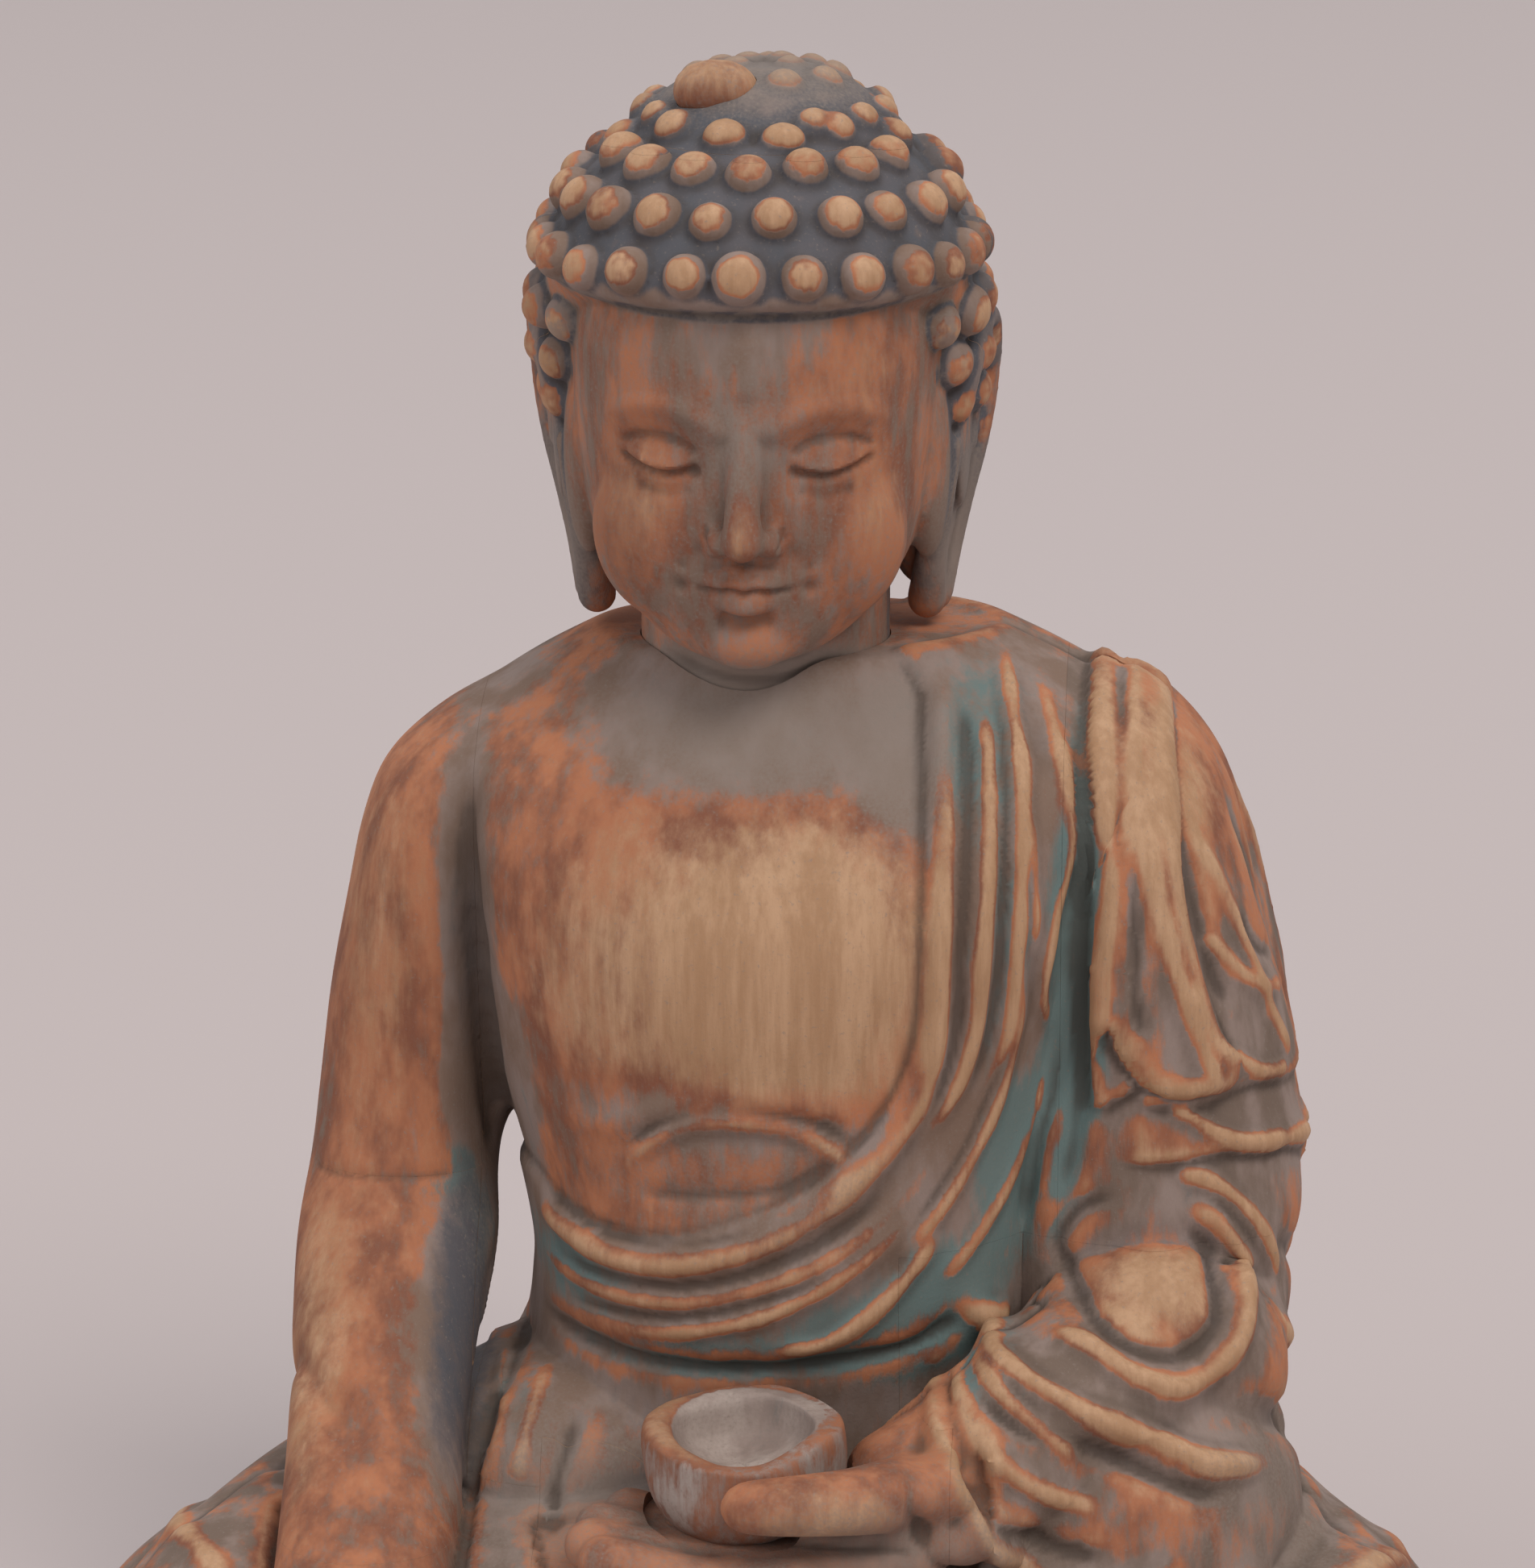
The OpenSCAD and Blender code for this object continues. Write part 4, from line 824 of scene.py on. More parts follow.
# painted shade in the face's creases and between the knobs of hair
headClay["paintedshade"] += np.clip(-fine - 0.3, 0, 1.2) * 0.6 + hairShare * np.clip(-broad - 0.25, 0, 1.2) * 0.5
headClay["blue"] += hairShare * np.clip(0.55 - broad, 0, 1)
headClay["dust"] += (1 - hairShare) * 0.18
headClay["dust"] += hairShare * ease((272.5 - upright) / 5) * ease((-co[:, 1] - 12) / 10) * (0.5 + chips)
for mask, centre, size, amount in [
        ("wear", (17, -36, 252), (16, 24, 12), 0.16), ("wear", (20, -36, 232), (12, 20, 14), 0.16),
        ("wear", (-20, -36, 232), (11, 20, 18), 0.2), ("wear", (-2, -50, 226), (4, 10, 12), 0.3),
        ("wear", (-2, -44, 205), (10, 12, 5), 0.16), ("wear", (-2, -40, 258), (22, 20, 9), -0.16),
        ("wear", (-2, -40, 240), (10, 8, 9), -0.1), ("wear", (0, -30, 196), (40, 40, 10), -0.7),
        ("dust", (0, -30, 196), (40, 40, 14), 0.8), ("dust", (-2, -42, 243), (12, 10, 16), 0.3),
        ("dust", (-2, -44, 212), (16, 10, 8), 0.2), ("dust", (-35, 0, 222), (10, 22, 26), 0.6),
        ("dust", (31, 0, 222), (10, 22, 26), 0.6), ("wear", (-35, 0, 222), (9, 22, 24), -0.3),
        ("wear", (31, 0, 222), (9, 22, 24), -0.3), ("red", (-2, -40, 232), (34, 30, 34), 0.75),
        ("dust", (-2, 4, 296), (32, 32, 16), 0.7), ("blue", (34, 0, 240), (10, 20, 30), 0.5),
        # a darker patch on the cheek at the viewer's left
        ("paintedshade", (-24, -36, 226), (10, 20, 18), 0.35)]:
    spot(headClay, mask, centre, size, amount, 0.8)
print("paint laid")


# colours and patterns of the finish
paint = {
    "bare": (0.520, 0.320, 0.190), "bareDeep": (0.380, 0.215, 0.115), "orange": (0.430, 0.165, 0.080),
    "red": (0.215, 0.080, 0.045), "film": (0.160, 0.118, 0.092), "filmPale": (0.260, 0.205, 0.180),
    "teal": (0.118, 0.186, 0.182), "blue": (0.075, 0.085, 0.100), "dust": (0.235, 0.190, 0.160),
    # the near-black below is the colour of painted shade
    "paintedshade": (0.045, 0.032, 0.024), "iron": (0.050, 0.035, 0.028), "rust": (0.180, 0.065, 0.030),
}


def addNode(tree, kind, x, y, **facts):
    node = tree.nodes.new(kind)
    node.location = (x, y)
    for name, value in facts.items():
        setattr(node, name, value)
    return node


def mixColour(tree, x, y, share, first, second, mode="MIX"):
    node = addNode(tree, "ShaderNodeMix", x, y, data_type="RGBA", blend_type=mode)
    for socket, value in (("Factor_Float", share), ("A_Color", first), ("B_Color", second)):
        target = next(k for k in node.inputs if k.identifier == socket)
        if isinstance(value, bpy.types.NodeSocket):
            tree.links.new(value, target)
        elif isinstance(value, tuple):
            target.default_value = (*value, 1)
        else:
            target.default_value = value
    return next(k for k in node.outputs if k.identifier == "Result_Color")


def maths(tree, x, y, operation, *values, clamp=False):
    node = addNode(tree, "ShaderNodeMath", x, y, operation=operation, use_clamp=clamp)
    for socket, value in zip(node.inputs, values):
        if isinstance(value, bpy.types.NodeSocket):
            tree.links.new(value, socket)
        else:
            socket.default_value = value
    return node.outputs[0]


def stepUp(tree, x, y, value, low, high):
    # 0 below low, 1 above high, eased between
    node = addNode(tree, "ShaderNodeMapRange", x, y, interpolation_type="SMOOTHSTEP")
    tree.links.new(value, node.inputs["Value"])
    node.inputs["From Min"].default_value = low
    node.inputs["From Max"].default_value = high
    return node.outputs["Result"]


def noiseAt(tree, x, y, stretch, scale, detail, rough):
    place = addNode(tree, "ShaderNodeTexCoord", x - 400, y)
    mapping = addNode(tree, "ShaderNodeMapping", x - 200, y)
    mapping.inputs["Scale"].default_value = stretch
    tree.links.new(place.outputs["Object"], mapping.inputs["Vector"])
    node = addNode(tree, "ShaderNodeTexNoise", x, y)
    tree.links.new(mapping.outputs["Vector"], node.inputs["Vector"])
    node.inputs["Scale"].default_value = scale
    node.inputs["Detail"].default_value = detail
    node.inputs["Roughness"].default_value = rough
    return node.outputs[0]


def newGroup(name, ins, outs):
    tree = bpy.data.node_groups.new(name, "ShaderNodeTree")
    for label, kind, value in ins:
        socket = tree.interface.new_socket(label, in_out="INPUT", socket_type=kind)
        if value is not None:
            socket.default_value = value
    for label, kind in outs:
        tree.interface.new_socket(label, in_out="OUTPUT", socket_type=kind)
    return tree, addNode(tree, "NodeGroupInput", -2400, 0), addNode(tree, "NodeGroupOutput", 1400, 0)


def grainGroup():
    # wood grain running up the figure: a colour, a height and the streak pattern
    tree, into, out = newGroup("woodGrain", [("Pale", "NodeSocketColor", (*paint["bare"], 1)),
                                             ("Deep", "NodeSocketColor", (*paint["bareDeep"], 1))],
                               [("Color", "NodeSocketColor"), ("Height", "NodeSocketFloat"),
                                ("Streak", "NodeSocketFloat")])
    broadBands = noiseAt(tree, -1400, 400, (1, 1, 0.16), 120, 3, 0.6)
    pores = noiseAt(tree, -1400, 100, (1, 1, 0.045), 1500, 3, 0.6)
    streak = noiseAt(tree, -1400, -200, (1, 1, 0.09), 620, 4, 0.65)
    cloud = noiseAt(tree, -1400, -500, (1, 1, 0.5), 60, 3, 0.5)
    share = maths(tree, -900, 300, "MULTIPLY_ADD", broadBands, 0.55, 0.0)
    share = maths(tree, -740, 300, "MULTIPLY_ADD", streak, 0.45, share)
    share = stepUp(tree, -560, 300, share, 0.38, 0.64)
    wood = mixColour(tree, -300, 300, share, into.outputs["Deep"], into.outputs["Pale"])
    dotted = stepUp(tree, -560, 60, pores, 0.60, 0.72)
    wood = mixColour(tree, -60, 200, maths(tree, -300, 60, "MULTIPLY", dotted, 0.35), wood,
                     paint["bareDeep"])
    wood = mixColour(tree, 200, 200, maths(tree, -300, -100, "MULTIPLY_ADD", cloud, 0.6, -0.12, clamp=True),
                     wood,
                     paint["bareDeep"])
    height = maths(tree, -60, -200, "MULTIPLY_ADD", streak, 0.6,
                   maths(tree, -300, -300, "MULTIPLY", pores, 0.4))
    tree.links.new(wood, out.inputs["Color"])
    tree.links.new(height, out.inputs["Height"])
    tree.links.new(streak, out.inputs["Streak"])
    return tree


woodGrain = grainGroup()


def coatGroup():
    # bare wood, red ground, paint film and dust, each over the one before, by the carved masks, then
    # painted shade
    names = ["Wear", "Red", "Teal", "Blue", "Dust", "Paintedshade"]
    tree, into, out = newGroup("wornCoat", [(n, "NodeSocketFloat", 0.0) for n in names]
                               + [("Film", "NodeSocketColor", (*paint["film"], 1))],
                               [("Color", "NodeSocketColor"), ("Height", "NodeSocketFloat"),
                                ("Rough", "NodeSocketFloat")])
    grain = addNode(tree, "ShaderNodeGroup", -900, 700, node_tree=woodGrain)
    grain.inputs["Pale"].default_value = (*paint["bare"], 1)
    grain.inputs["Deep"].default_value = (*paint["bareDeep"], 1)
    long = noiseAt(tree, -1400, 300, (1, 1, 0.12), 420, 5, 0.7)
    blotch = noiseAt(tree, -1400, 0, (1, 1, 0.45), 95, 4, 0.6)
    chips = noiseAt(tree, -1400, -300, (1, 1, 0.5), 480, 4, 0.6)
    specks = noiseAt(tree, -1400, -600, (1, 1, 1), 1700, 2, 0.5)
    edge = maths(tree, -1100, 300, "MULTIPLY_ADD", long, 0.55,
                 maths(tree, -1240, 300, "MULTIPLY", blotch, 0.50))
    edge = maths(tree, -940, 300, "MULTIPLY_ADD", chips, 0.40, edge)
    edge = maths(tree, -800, 300, "SUBTRACT", edge, 0.725)
    worn = maths(tree, -640, 300, "MULTIPLY_ADD", edge, 1.0, into.outputs["Wear"])
    # the red ground shows first, then the bare wood
    ground = mixColour(tree, -500, 560, stepUp(tree, -700, 560, blotch, 0.36, 0.62), paint["red"],
                       paint["orange"])
    ground = mixColour(tree, -300, 560,
                       maths(tree, -500, 460, "MULTIPLY", into.outputs["Red"], 0.55, clamp=True), ground,
                       paint["red"])
    toBare = stepUp(tree, -400, 300, worn, 0.42, 0.98)
    colour = mixColour(tree, -100, 500, toBare, ground, grain.outputs["Color"])
    # the film of old paint
    film = mixColour(tree, -100, 100, stepUp(tree, -300, 60, blotch, 0.38, 0.66), into.outputs["Film"],
                     paint["filmPale"])
    tealShare = maths(tree, -500, -80, "MULTIPLY_ADD", edge, 1.6, into.outputs["Teal"])
    film = mixColour(tree, 60, 100, stepUp(tree, -300, -80, tealShare, 0.12, 0.62), film, paint["teal"])
    blueShare = maths(tree, -500, -240, "MULTIPLY_ADD", edge, 1.0, into.outputs["Blue"])
    film = mixColour(tree, 220, 100, stepUp(tree, -300, -240, blueShare, 0.10, 0.75), film, paint["blue"])
    filmOn = maths(tree, 0, -60, "SUBTRACT", 1.0, stepUp(tree, -200, -400, worn, 0.22, 0.46))
    colour = mixColour(tree, 400, 400, maths(tree, 200, -60, "MULTIPLY", filmOn, 0.94), colour, film)
    # dust, in fine specks and as a soft veil
    veil = maths(tree, 200, -240, "MULTIPLY_ADD", specks, 0.9,
                 maths(tree, 40, -300, "SUBTRACT", into.outputs["Dust"], 0.45))
    veil = maths(tree, 360, -240, "MULTIPLY", stepUp(tree, 260, -340, veil, 0.0, 0.8), 0.72)
    colour = mixColour(tree, 620, 300, veil, colour, paint["dust"])
    speck = maths(tree, 500, -420, "MULTIPLY", stepUp(tree, 360, -420, specks, 0.64, 0.74), 0.38)
    colour = mixColour(tree, 800, 300, speck, colour, paint["dust"])
    # painted shade, laid last by its mask
    shade = maths(tree, 640, -200, "MULTIPLY", into.outputs["Paintedshade"], 0.55, clamp=True)
    colour = mixColour(tree, 1000, 300, shade, colour, paint["paintedshade"])
    height = maths(tree, 700, -600, "MULTIPLY_ADD", filmOn, 0.5,
                   maths(tree, 500, -640, "MULTIPLY", grain.outputs["Height"], 0.5))
    height = maths(tree, 880, -600, "MULTIPLY_ADD", specks, 0.22, height)
    height = maths(tree, 1040, -600, "MULTIPLY_ADD", chips, 0.25, height)
    rough = maths(tree, 880, -800, "MULTIPLY_ADD", toBare, -0.14, 0.80)
    tree.links.new(colour, out.inputs["Color"])
    tree.links.new(height, out.inputs["Height"])
    tree.links.new(rough, out.inputs["Rough"])
    return tree


wornCoat = coatGroup()


def newMaterial(name):
    made = bpy.data.materials.new(name)
    made.use_nodes = True
    return made, made.node_tree, made.node_tree.nodes["Principled BSDF"]


def addBump(tree, shader, y, height, strength, distance):
    raised = addNode(tree, "ShaderNodeBump", -220, y)
    raised.inputs["Strength"].default_value = strength
    raised.inputs["Distance"].default_value = distance
    tree.links.new(height, raised.inputs["Height"])
    tree.links.new(raised.outputs["Normal"], shader.inputs["Normal"])


def coatMaterial(name, film):
    made, tree, shader = newMaterial(name)
    coat = addNode(tree, "ShaderNodeGroup", -500, 200, node_tree=wornCoat)
    coat.inputs["Film"].default_value = (*film, 1)
    for mask in ("wear", "red", "teal", "blue", "dust", "paintedshade"):
        value = addNode(tree, "ShaderNodeAttribute", -800, 300 - 160 * len(coat.inputs),
                        attribute_name=mask)
        tree.links.new(value.outputs["Fac"], coat.inputs[mask.capitalize()])
    addBump(tree, shader, -120, coat.outputs["Height"], 0.35, 0.0006)
    tree.links.new(coat.outputs["Color"], shader.inputs["Base Color"])
    tree.links.new(coat.outputs["Rough"], shader.inputs["Roughness"])
    shader.inputs["Specular IOR Level"].default_value = 0.35
    return made


def woodMaterial(name, pale, deep):
    made, tree, shader = newMaterial(name)
    grain = addNode(tree, "ShaderNodeGroup", -500, 200, node_tree=woodGrain)
    grain.inputs["Pale"].default_value = (*pale, 1)
    grain.inputs["Deep"].default_value = (*deep, 1)
    addBump(tree, shader, -120, grain.outputs["Height"], 0.3, 0.0005)
    tree.links.new(grain.outputs["Color"], shader.inputs["Base Color"])
    shader.inputs["Roughness"].default_value = 0.78
    return made


def ironMaterial():
    made, tree, shader = newMaterial("forgedIron")
    blotch = noiseAt(tree, -700, 200, (1, 1, 1), 420, 5, 0.65)
    colour = mixColour(tree, -300, 200, stepUp(tree, -500, 200, blotch, 0.42, 0.62), paint["iron"],
                       paint["rust"])
    tree.links.new(colour, shader.inputs["Base Color"])
    tree.links.new(maths(tree, -300, 0, "MULTIPLY_ADD", blotch, 0.5, 0.35), shader.inputs["Roughness"])
    shader.inputs["Metallic"].default_value = 0.6
    addBump(tree, shader, -160, blotch, 0.4, 0.0003)
    return made


finish = {
    "robe": coatMaterial("wornRobePaint", paint["film"]),
    "skin": coatMaterial("wornSkinPaint", (0.20, 0.135, 0.10)),
    "bowl": coatMaterial("dustyBowlPaint", (0.42, 0.35, 0.31)),
    "hair": coatMaterial("wornHairPaint", (0.105, 0.095, 0.095)),
    "sawn": woodMaterial("sawnWood", (0.47, 0.30, 0.17), (0.33, 0.19, 0.10)),
    "peg": woodMaterial("pegWood", (0.52, 0.34, 0.20), (0.40, 0.24, 0.13)),
    "iron": ironMaterial(),
}


# sawing the carved figure into its blocks
def boxMesh(low, high):
    bm = bmesh.new()
    bmesh.ops.create_cube(bm, size=1)
    for v in bm.verts:
        v.co = [low[i] if v.co[i] < 0 else high[i] for i in range(3)]
    return asMesh(bm, "saw")


sawBench = {"far": 400, "kerf": 0.015}


def region(low, high):
    # a box with None for an open side; the saw's kerf is left on each closed side
    far = sawBench["far"]
    low = [-far if k is None else k + sawBench["kerf"] for k in low]
    high = [far if k is None else k - sawBench["kerf"] for k in high]
    return boxMesh(low, high)


def without(low, high):
    far = sawBench["far"]
    low = [-far if k is None else k - sawBench["kerf"] for k in low]
    high = [far if k is None else k + sawBench["kerf"] for k in high]
    return boxMesh(low, high)


def dropChips(mesh, fewest):
    # small slivers that the saw leaves loose
    n = len(mesh.vertices)
    a, b = readOut(mesh.edges, "vertices", 2, np.int32).T
    group = np.arange(n)
    for _ in range(400):
        least = group.copy()
        np.minimum.at(least, a, group[b])
        np.minimum.at(least, b, group[a])
        least = least[least]
        if (least == group).all():
            break
        group = least
    sizes = np.bincount(group, minlength=n)
    loose = np.flatnonzero(sizes[group] < fewest)
    if len(loose) and len(loose) < n:
        bm = bmesh.new()
        bm.from_mesh(mesh)
        bm.verts.ensure_lookup_table()
        bmesh.ops.delete(bm, geom=[bm.verts[i] for i in loose], context="VERTS")
        bm.to_mesh(mesh)
        bm.free()


def sawPiece(name, clay, keep, gone, node, material, body="figure", fewest=120, ends=None):
    source = clay["mesh"]
    piece = placed(name, source)
    blades = []
    planes = [set(), set(), set()]
    for mesh in [keep, *gone]:
        if len(mesh.vertices) == 8:
            for v in mesh.vertices:
                for axis in range(3):
                    planes[axis].add(round(v.co[axis], 3))
    for operation, mesh in [("INTERSECT", keep)] + [("DIFFERENCE", g) for g in gone]:
        blade = placed("blade", mesh)
        blades.append(blade)
        cutter = piece.modifiers.new("saw", "BOOLEAN")
        cutter.operation = operation
        cutter.solver = "MANIFOLD"
        cutter.object = blade
    ready = piece.evaluated_get(bpy.context.evaluated_depsgraph_get())
    made = bpy.data.meshes.new_from_object(ready)
    piece.modifiers.clear()
    for blade in blades:
        bpy.data.objects.remove(blade)
    piece.data = made
    made.name = name
    dropChips(made, fewest)
    n = len(made.vertices)
    co = readOut(made.vertices, "co", 3)
    tree = clay["kd"]
    nearest = np.array([tree.find(c)[1] for c in co])
    for mask in ("wear", "red", "teal", "dust", "blue", "paintedshade"):
        if mask in made.attributes:
            made.attributes.remove(made.attributes[mask])
        layer = made.attributes.new(mask, "FLOAT", "POINT")
        layer.data.foreach_set("value", np.clip(clay[mask][nearest], 0, 1.2).astype(np.float32))
    # sawn faces show plain wood, or the finish given as ends
    made.materials.clear()
    made.materials.append(material)
    made.materials.append(ends or finish["sawn"])
    count = len(made.polygons)
    middle = readOut(made.polygons, "center", 3)
    away = readOut(made.polygons, "normal", 3)
    sawn = np.zeros(count, bool)
    for axis in range(3):
        for place in planes[axis]:
            sawn |= (np.abs(away[:, axis]) > 0.999) & (np.abs(middle[:, axis] - place) < 0.02)
    made.polygons.foreach_set("material_index", sawn.astype(np.int32))
    made.polygons.foreach_set("use_smooth", np.ones(count, bool))
    made.set_sharp_from_angle(angle=math.radians(52))
    made.transform(Matrix.Diagonal((mm, mm, mm, 1)))
    made.update()
    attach(piece, body)
    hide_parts(node)
    print(name, n, "points")
    return piece


def growTree(clay):
    tree = KDTree(len(clay["co"]))
    for i, c in enumerate(clay["co"]):
        tree.insert(c, i)
    tree.balance()
    clay["kd"] = tree


growTree(clay)
growTree(headClay)

saw = {
    "right": cadCorner("right_upper_arm", 1, 0), "left": cadCorner("left_upper_sleeve", 0, 0),
    "lap": cadCorner("lap_block", 1, 1), "seam": cadCorner("trunk_front", 1, 1),
    "lapTop": cadCorner("lap_block", 1, 2), "seat": cadCorner("left_lower_sleeve", 0, 2),
    "inner": cadCorner("left_lower_sleeve", 0, 0), "handEnd": cadCorner("left_hand", 1, 0),
    "handBack": cadCorner("left_hand", 1, 1), "palmFloor": cadCorner("left_hand", 0, 2),
    "elbow": cadCorner("right_forearm", 1, 2), "sleeve": cadCorner("left_lower_sleeve", 1, 2),
    "wrist": cadCorner("right_hand", 1, 2), "handFront": -70, "bowlTop": cadCorner("alms_bowl", 1, 2),
    "face": cadCorner("head_front", 1, 1), "topknot": cadCorner("topknot", 0, 2), "hipBack": 11,
}
hollow = {"chamber": ((-19, -15, -9), (21, 24, 148)), "board": ((-30, -18, -9), (32, 31, 5.05)),
          "cover": ((-15, 24, 70), (17, 99, 136)), "neck": (-1, -5, 21.2, 184)}


def chamberBox():
    return boxMesh(*hollow["chamber"])


def boardBox():
    return boxMesh(*hollow["board"])


def coverBox():
    return boxMesh((hollow["cover"][0][0], 20, hollow["cover"][0][2]), hollow["cover"][1])


def neckHole():
    bm = bmesh.new()
    x, y, radius, floor = hollow["neck"]
    bmesh.ops.create_cone(bm, cap_ends=True, segments=64, radius1=radius, radius2=radius, depth=60,
                          matrix=Matrix.Translation((x, y, floor + 30)))
    return asMesh(bm, "neckHole")


def bowlRoom():
    low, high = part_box("alms_bowl")
    bm = bmesh.new()
    bmesh.ops.create_cone(bm, cap_ends=True, segments=72, radius1=17.2, radius2=18.3, depth=60,
                          matrix=Matrix.Translation(((low.x + high.x) / 2 / mm, (low.y + high.y) / 2 / mm,
                                                     low.z / mm + 30)))
    return asMesh(bm, "bowlRoom")


s0, s1 = saw["right"], saw["left"]
sawPiece("trunkFront", clay, region((s0, None, -0.05), (s1, saw["seam"], None)), [
    without((None, None, None), (None, saw["lap"], saw["lapTop"])),
    without((saw["inner"], None, None), (None, saw["lap"], saw["sleeve"])),
    without((-36, None, None), (None, saw["handBack"], saw["bowlTop"])),
    neckHole(), chamberBox(), boardBox()], "trunk_front", finish["skin"])
sawPiece("trunkBack", clay, region((s0, saw["seam"], -0.05), (s1, None, None)), [
    neckHole(), chamberBox(), boardBox(), coverBox()], "trunk_back", finish["robe"])
low, high = hollow["cover"]
sawPiece("backCover", clay,
         boxMesh((low[0] + 0.3, low[1], low[2] + 0.3), (high[0] - 0.3, high[1], high[2] - 0.3)), [],
         "back_cover", finish["robe"], "cover")
sawPiece("lapBlock", clay, region((None, None, -0.05), (None, saw["lap"], saw["lapTop"])), [
    without((None, None, saw["wrist"]), (s0, None, None)),
    without((-80.5, None, saw["seat"]), (s0, -40, None)),
    without((saw["inner"], saw["handBack"], saw["seat"]), (None, None, None)),
    without((saw["handEnd"], None, saw["seat"]), (None, None, None)),
    without((-36, None, saw["palmFloor"]), (None, saw["handBack"], None)),
    without((-80, None, 8), (-50, saw["handFront"], None))], "lap_block", finish["robe"])
sawPiece("rightHip", clay, region((None, saw["lap"], -0.05), (s0, None, saw["lapTop"])), [
    without((None, None, saw["wrist"]), (None, saw["hipBack"], None))], "right_hip_block",
         finish["robe"], ends=finish["robe"])
sawPiece("leftHip", clay, region((s1, saw["lap"], -0.05), (None, None, saw["seat"])), [],
         "left_hip_block", finish["robe"], ends=finish["robe"])
sawPiece("rightUpperArm", clay, region((None, None, saw["elbow"]), (s0, None, None)), [], "right_upper_arm",
         finish["skin"])
sawPiece("rightForearm", clay, region((None, None, saw["wrist"]), (s0, saw["hipBack"], saw["elbow"])), [],
         "right_forearm", finish["skin"])
sawPiece("rightHand", clay, region((-80.5, None, 8), (s0, saw["lap"] - 18, saw["wrist"])), [
    without((None, saw["handFront"], None), (None, None, saw["seat"]))], "right_hand",
         finish["skin"])
sawPiece("leftUpperSleeve", clay, region((s1, None, saw["sleeve"]), (None, None, None)), [],
         "left_upper_sleeve",
         finish["robe"])
sawPiece("leftLowerSleeve", clay, region((saw["inner"], None, saw["seat"]), (None, 22, saw["sleeve"])), [
    without((None, saw["lap"], None), (s1, None, None)),
    without((None, None, None), (saw["handEnd"], saw["handBack"], saw["bowlTop"]))], "left_lower_sleeve",
         finish["robe"], ends=finish["robe"])
sawPiece("leftHand", clay,
         region((None, None, saw["palmFloor"]), (saw["handEnd"], saw["handBack"], saw["bowlTop"])), [
    bowlRoom(), without((None, None, None), (-36, None, None))], "left_hand",
         finish["skin"],
         ends=finish["skin"])


jewel = {"centre": (-9, -8, 294), "size": (7.2, 5, 5.2), "tilt": (-24, 0, 0), "gap": 0.1}


def jewelMesh(gap):
    bm = bmesh.new()
    addBall(bm, jewel["centre"], [k + gap for k in jewel["size"]], jewel["tilt"])
    for v in bm.verts:
        v.co += Vector(noise.noise_vector(v.co * 0.35)) * 0.25
    return asMesh(bm, "jewel")


sawPiece("headFront", headClay, region((None, None, None), (None, saw["face"], saw["topknot"])),
         [jewelMesh(jewel["gap"])],
         "head_front", finish["skin"])
sawPiece("headBack", headClay, region((None, saw["face"], None), (None, None, saw["topknot"])), [],
         "head_back",
         finish["hair"])
sawPiece("topknot", headClay, region((None, None, saw["topknot"]), (None, None, 300)),
         [jewelMesh(jewel["gap"])],
         "topknot", finish["hair"], fewest=12)
print("blocks sawn")


def plainPiece(name, mesh, node, material, masks):
    # a piece made on its own, still in millimetres
    piece = placed(name, mesh)
    bm = bmesh.new()
    bm.from_mesh(mesh)
    bmesh.ops.recalc_face_normals(bm, faces=bm.faces)
    bm.to_mesh(mesh)
    bm.free()
    n = len(mesh.vertices)
    values = masks(readOut(mesh.vertices, "co", 3))
    for mask in ("wear", "red", "teal", "dust", "blue", "paintedshade"):
        layer = mesh.attributes.new(mask, "FLOAT", "POINT")
        layer.data.foreach_set("value", np.broadcast_to(values.get(mask, 0.0), n).astype(np.float32))
    mesh.materials.append(material)
    mesh.polygons.foreach_set("use_smooth", np.ones(len(mesh.polygons), bool))
    mesh.transform(Matrix.Diagonal((mm, mm, mm, 1)))
    mesh.update()
    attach(piece, "figure")
    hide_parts(node)
    return piece


def jewelMasks(co):
    return {"wear": 0.5 + 0.3 * ease((co[:, 2] - 291) / 6), "red": 0.2, "dust": 0.15}


plainPiece("topknotJewel", jewelMesh(0), "topknot_jewel", finish["skin"], jewelMasks)

bowl = {
    "profile": [(0.5, 0.3), (9, 0.2), (13.6, 1.4), (16.6, 5), (17.7, 10), (17.6, 14), (16.6, 16.6),
                (14.2, 17), (12.3, 16),
                (11.6, 13), (10.4, 10.4), (7, 8.8), (0.5, 8.4)],
    "steps": 72, "tilt": (7, -3),
}


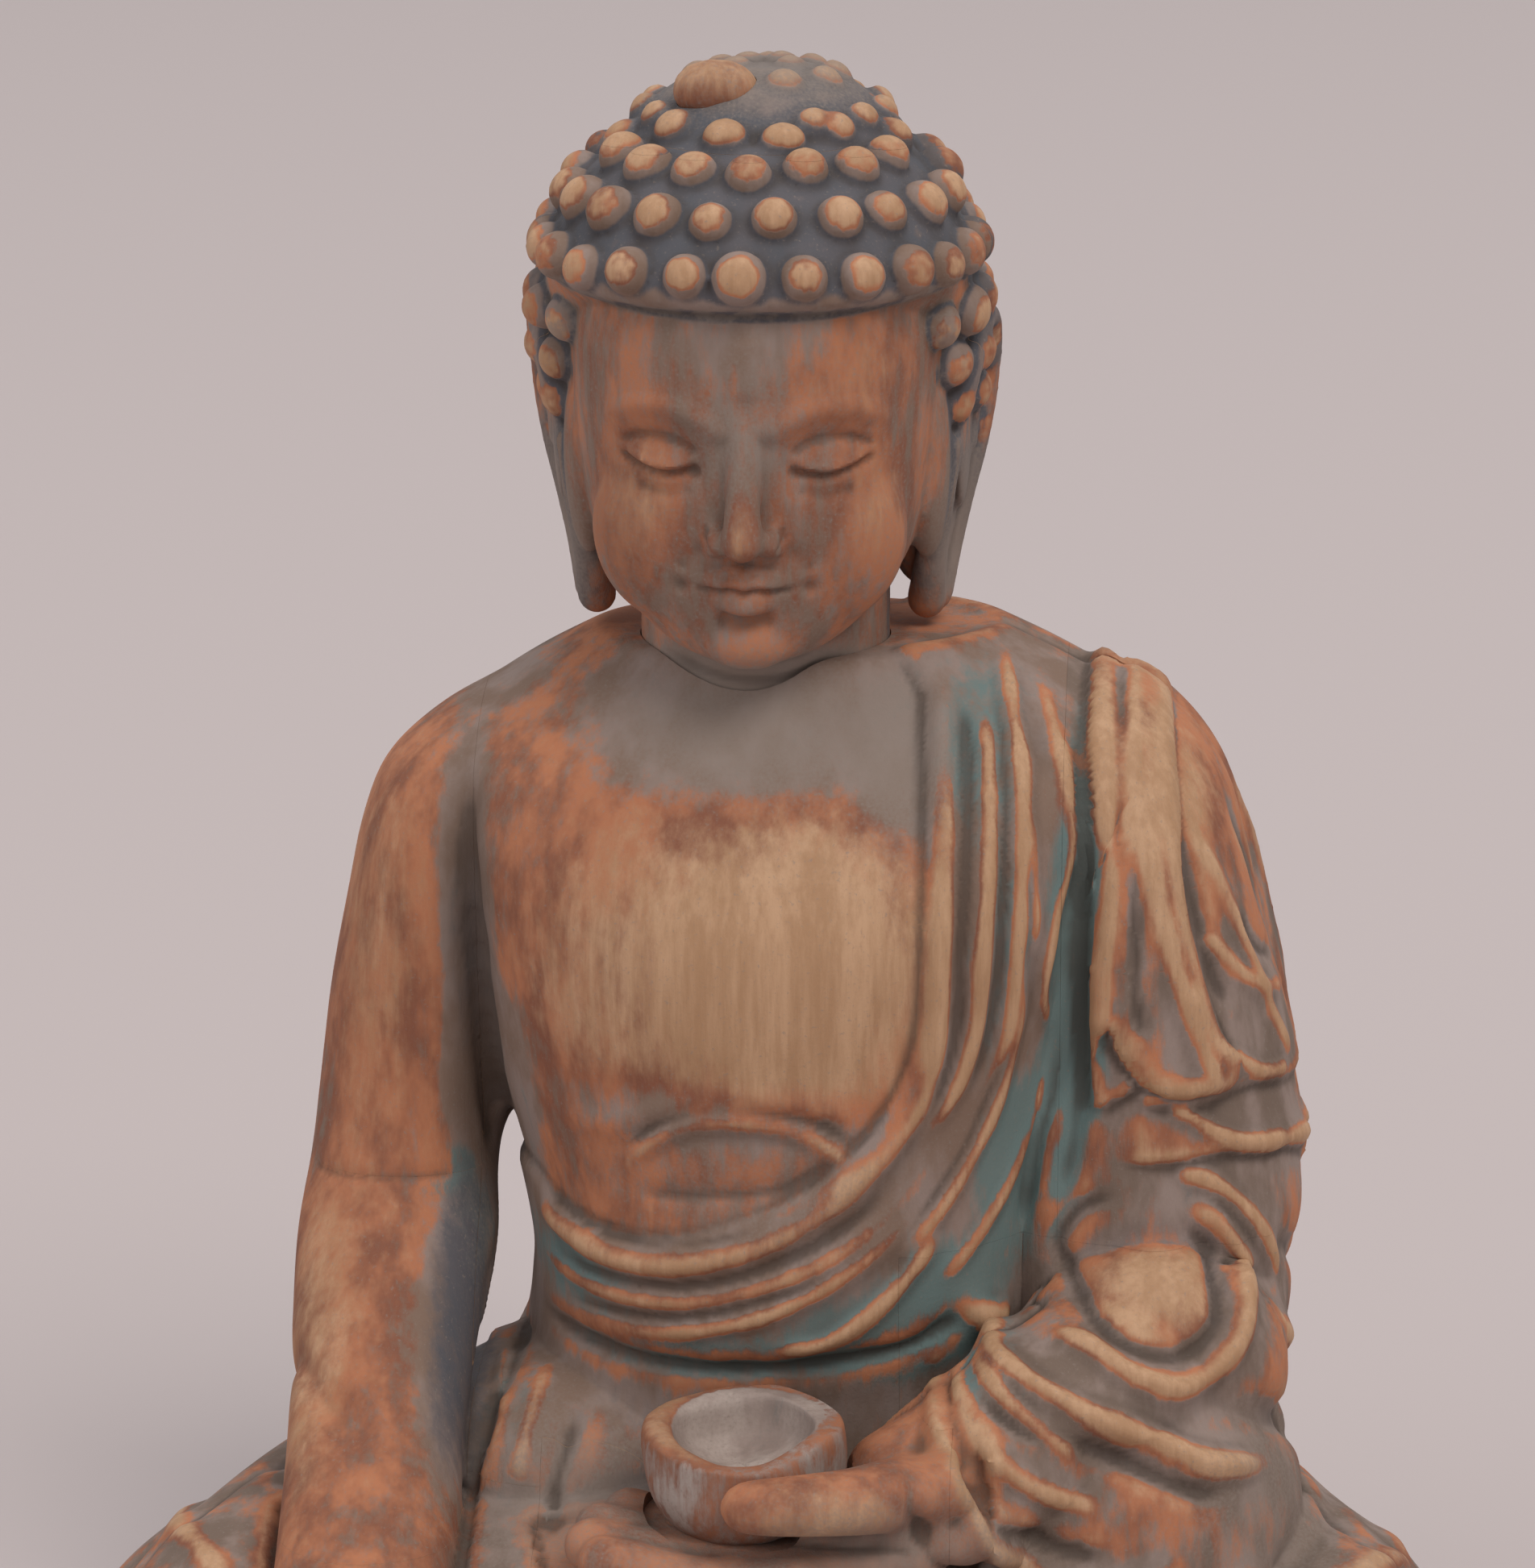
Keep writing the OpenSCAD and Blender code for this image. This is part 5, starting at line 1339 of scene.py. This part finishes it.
def bowlMesh():
    low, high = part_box("alms_bowl")
    middle = Vector(((low.x + high.x) / 2 / mm, (low.y + high.y) / 2 / mm, low.z / mm))
    bm = bmesh.new()
    profile = smoothPath(bowl["profile"], 4)
    row = [bm.verts.new((r, 0, z)) for r, z in profile]
    for a, b in zip(row, row[1:]):
        bm.edges.new((a, b))
    bmesh.ops.spin(bm, geom=bm.verts[:] + bm.edges[:], axis=(0, 0, 1), cent=(0, 0, 0), angle=2 * math.pi,
                   steps=bowl["steps"], use_merge=True)
    bmesh.ops.remove_doubles(bm, verts=bm.verts, dist=0.001)
    bmesh.ops.holes_fill(bm, edges=bm.edges)
    lean = Matrix.Rotation(math.radians(bowl["tilt"][0]), 3,
                           "X") @ Matrix.Rotation(math.radians(bowl["tilt"][1]), 3, "Y")
    for v in bm.verts:
        turn = math.atan2(v.co.y, v.co.x)
        corner = 1 - 0.05 * abs(math.sin(2 * turn + 0.5)) - 0.03 * abs(math.sin(2.5 * turn))
        v.co.x *= corner
        v.co.y *= corner
        v.co.z += ease(v.co.z / 8) * 0.9 * math.sin(turn * 2 + 1)
        v.co = lean @ v.co
        wave = noise.noise_vector(Vector((v.co.x * 0.09, v.co.y * 0.09, v.co.z * 0.12)))
        inward = 1 if v.co.z > 3 else ease(v.co.z / 3)
        v.co += Vector((wave.x, wave.y, wave.z * 0.6)) * 0.8 * inward
        reach = math.hypot(v.co.x, v.co.y)
        if reach > 17.6:
            v.co.x *= 17.6 / reach
            v.co.y *= 17.6 / reach
        v.co.z = min(v.co.z, 17.4)
    bmesh.ops.translate(bm, vec=middle, verts=bm.verts)
    return asMesh(bm, "almsBowl")


def bowlMasks(co):
    low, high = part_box("alms_bowl")
    far = np.hypot(co[:, 0] - (low.x + high.x) / 2 / mm, co[:, 1] - (low.y + high.y) / 2 / mm)
    up = co[:, 2] - low.z / mm
    rim = ease(1 - np.abs(far - 15) / 4) * ease((up - 13) / 3)
    within = ease((13 - far) / 1.5) * ease((up - 7) / 1)
    return {"wear": 0.34 + 0.42 * rim * ease(0.4 - co[:, 0] / 20) - 0.4 * within,
            "dust": 0.1 + 0.1 * within,
            # the bowl's painted shade grows towards its foot and is less inside
            "blue": 0.05 * within, "paintedshade": 0.3 + 0.3 * (1 - ease(up / 8)) - 0.3 * within,
            "red": 0.7 - 0.4 * rim}


plainPiece("almsBowl", bowlMesh(), "alms_bowl", finish["bowl"], bowlMasks)


def dress(node, material):
    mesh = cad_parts[node].data
    mesh.materials.clear()
    mesh.materials.append(material)


for node, key in (("base_board", "sawn"), ("large_pegs", "peg"), ("small_pegs", "peg"),
                  ("seam_staples", "iron"),
                  ("board_nails", "iron")):
    dress(node, finish[key])
print("pieces finished")


# floor, light and camera
studio = {
    "floor": 12.0, "floorColour": (0.490, 0.430, 0.425), "world": 0.5, "worldColour": (1.0, 0.985, 1.0),
    "lights": [     # name, place, size, power, colour
        ("keyLight", (2.8, -3.6, 6.0), 3.6, 270, (1.0, 0.96, 0.92)),
        ("fillLight", (-4.8, -2.8, 3.4), 4.5, 80, (0.96, 0.97, 1.0)),
        ("topLight", (0.3, 1.6, 6.0), 4.0, 90, (1.0, 0.99, 0.98)),
    ],
    "target": (0, -0.015, 0.178), "azimuth": 4, "elevation": 15, "distance": 1.0, "lens": 136.4,
}
bm = bmesh.new()
bmesh.ops.create_grid(bm, x_segments=1, y_segments=1, size=studio["floor"] / 2)
floorMesh = asMesh(bm, "studioFloor")
floorPiece = placed("studioFloor", floorMesh)
floorPaint, _, floorShader = newMaterial("floorPaint")
floorShader.inputs["Base Color"].default_value = (*studio["floorColour"], 1)
floorShader.inputs["Roughness"].default_value = 0.95
floorMesh.materials.append(floorPaint)

for name, place, size, power, colour in studio["lights"]:
    lamp = bpy.data.lights.new(name, "AREA")
    lamp.shape = "DISK"
    lamp.size = size
    lamp.energy = power
    lamp.color = colour
    holder = placed(name, lamp)
    holder.location = place
    holder.rotation_euler = (Vector(studio["target"]) - Vector(place)).to_track_quat("-Z", "Y").to_euler()

world = bpy.data.worlds.new("studio")
world.use_nodes = True
world.node_tree.nodes["Background"].inputs["Color"].default_value = (*studio["worldColour"], 1)
world.node_tree.nodes["Background"].inputs["Strength"].default_value = studio["world"]
bpy.context.scene.world = world
bpy.context.scene.view_settings.view_transform = "Standard"

eye = placed("camera", bpy.data.cameras.new("camera"))
a, e = math.radians(studio["azimuth"]), math.radians(studio["elevation"])
out = Vector((math.sin(a) * math.cos(e), -math.cos(a) * math.cos(e), math.sin(e)))
eye.location = Vector(studio["target"]) + out * studio["distance"]
eye.rotation_euler = out.to_track_quat("Z", "Y").to_euler()
eye.data.sensor_fit = "VERTICAL"
eye.data.sensor_height = 36
eye.data.lens = studio["lens"]
eye.data.clip_start = 0.05
bpy.context.scene.camera = eye
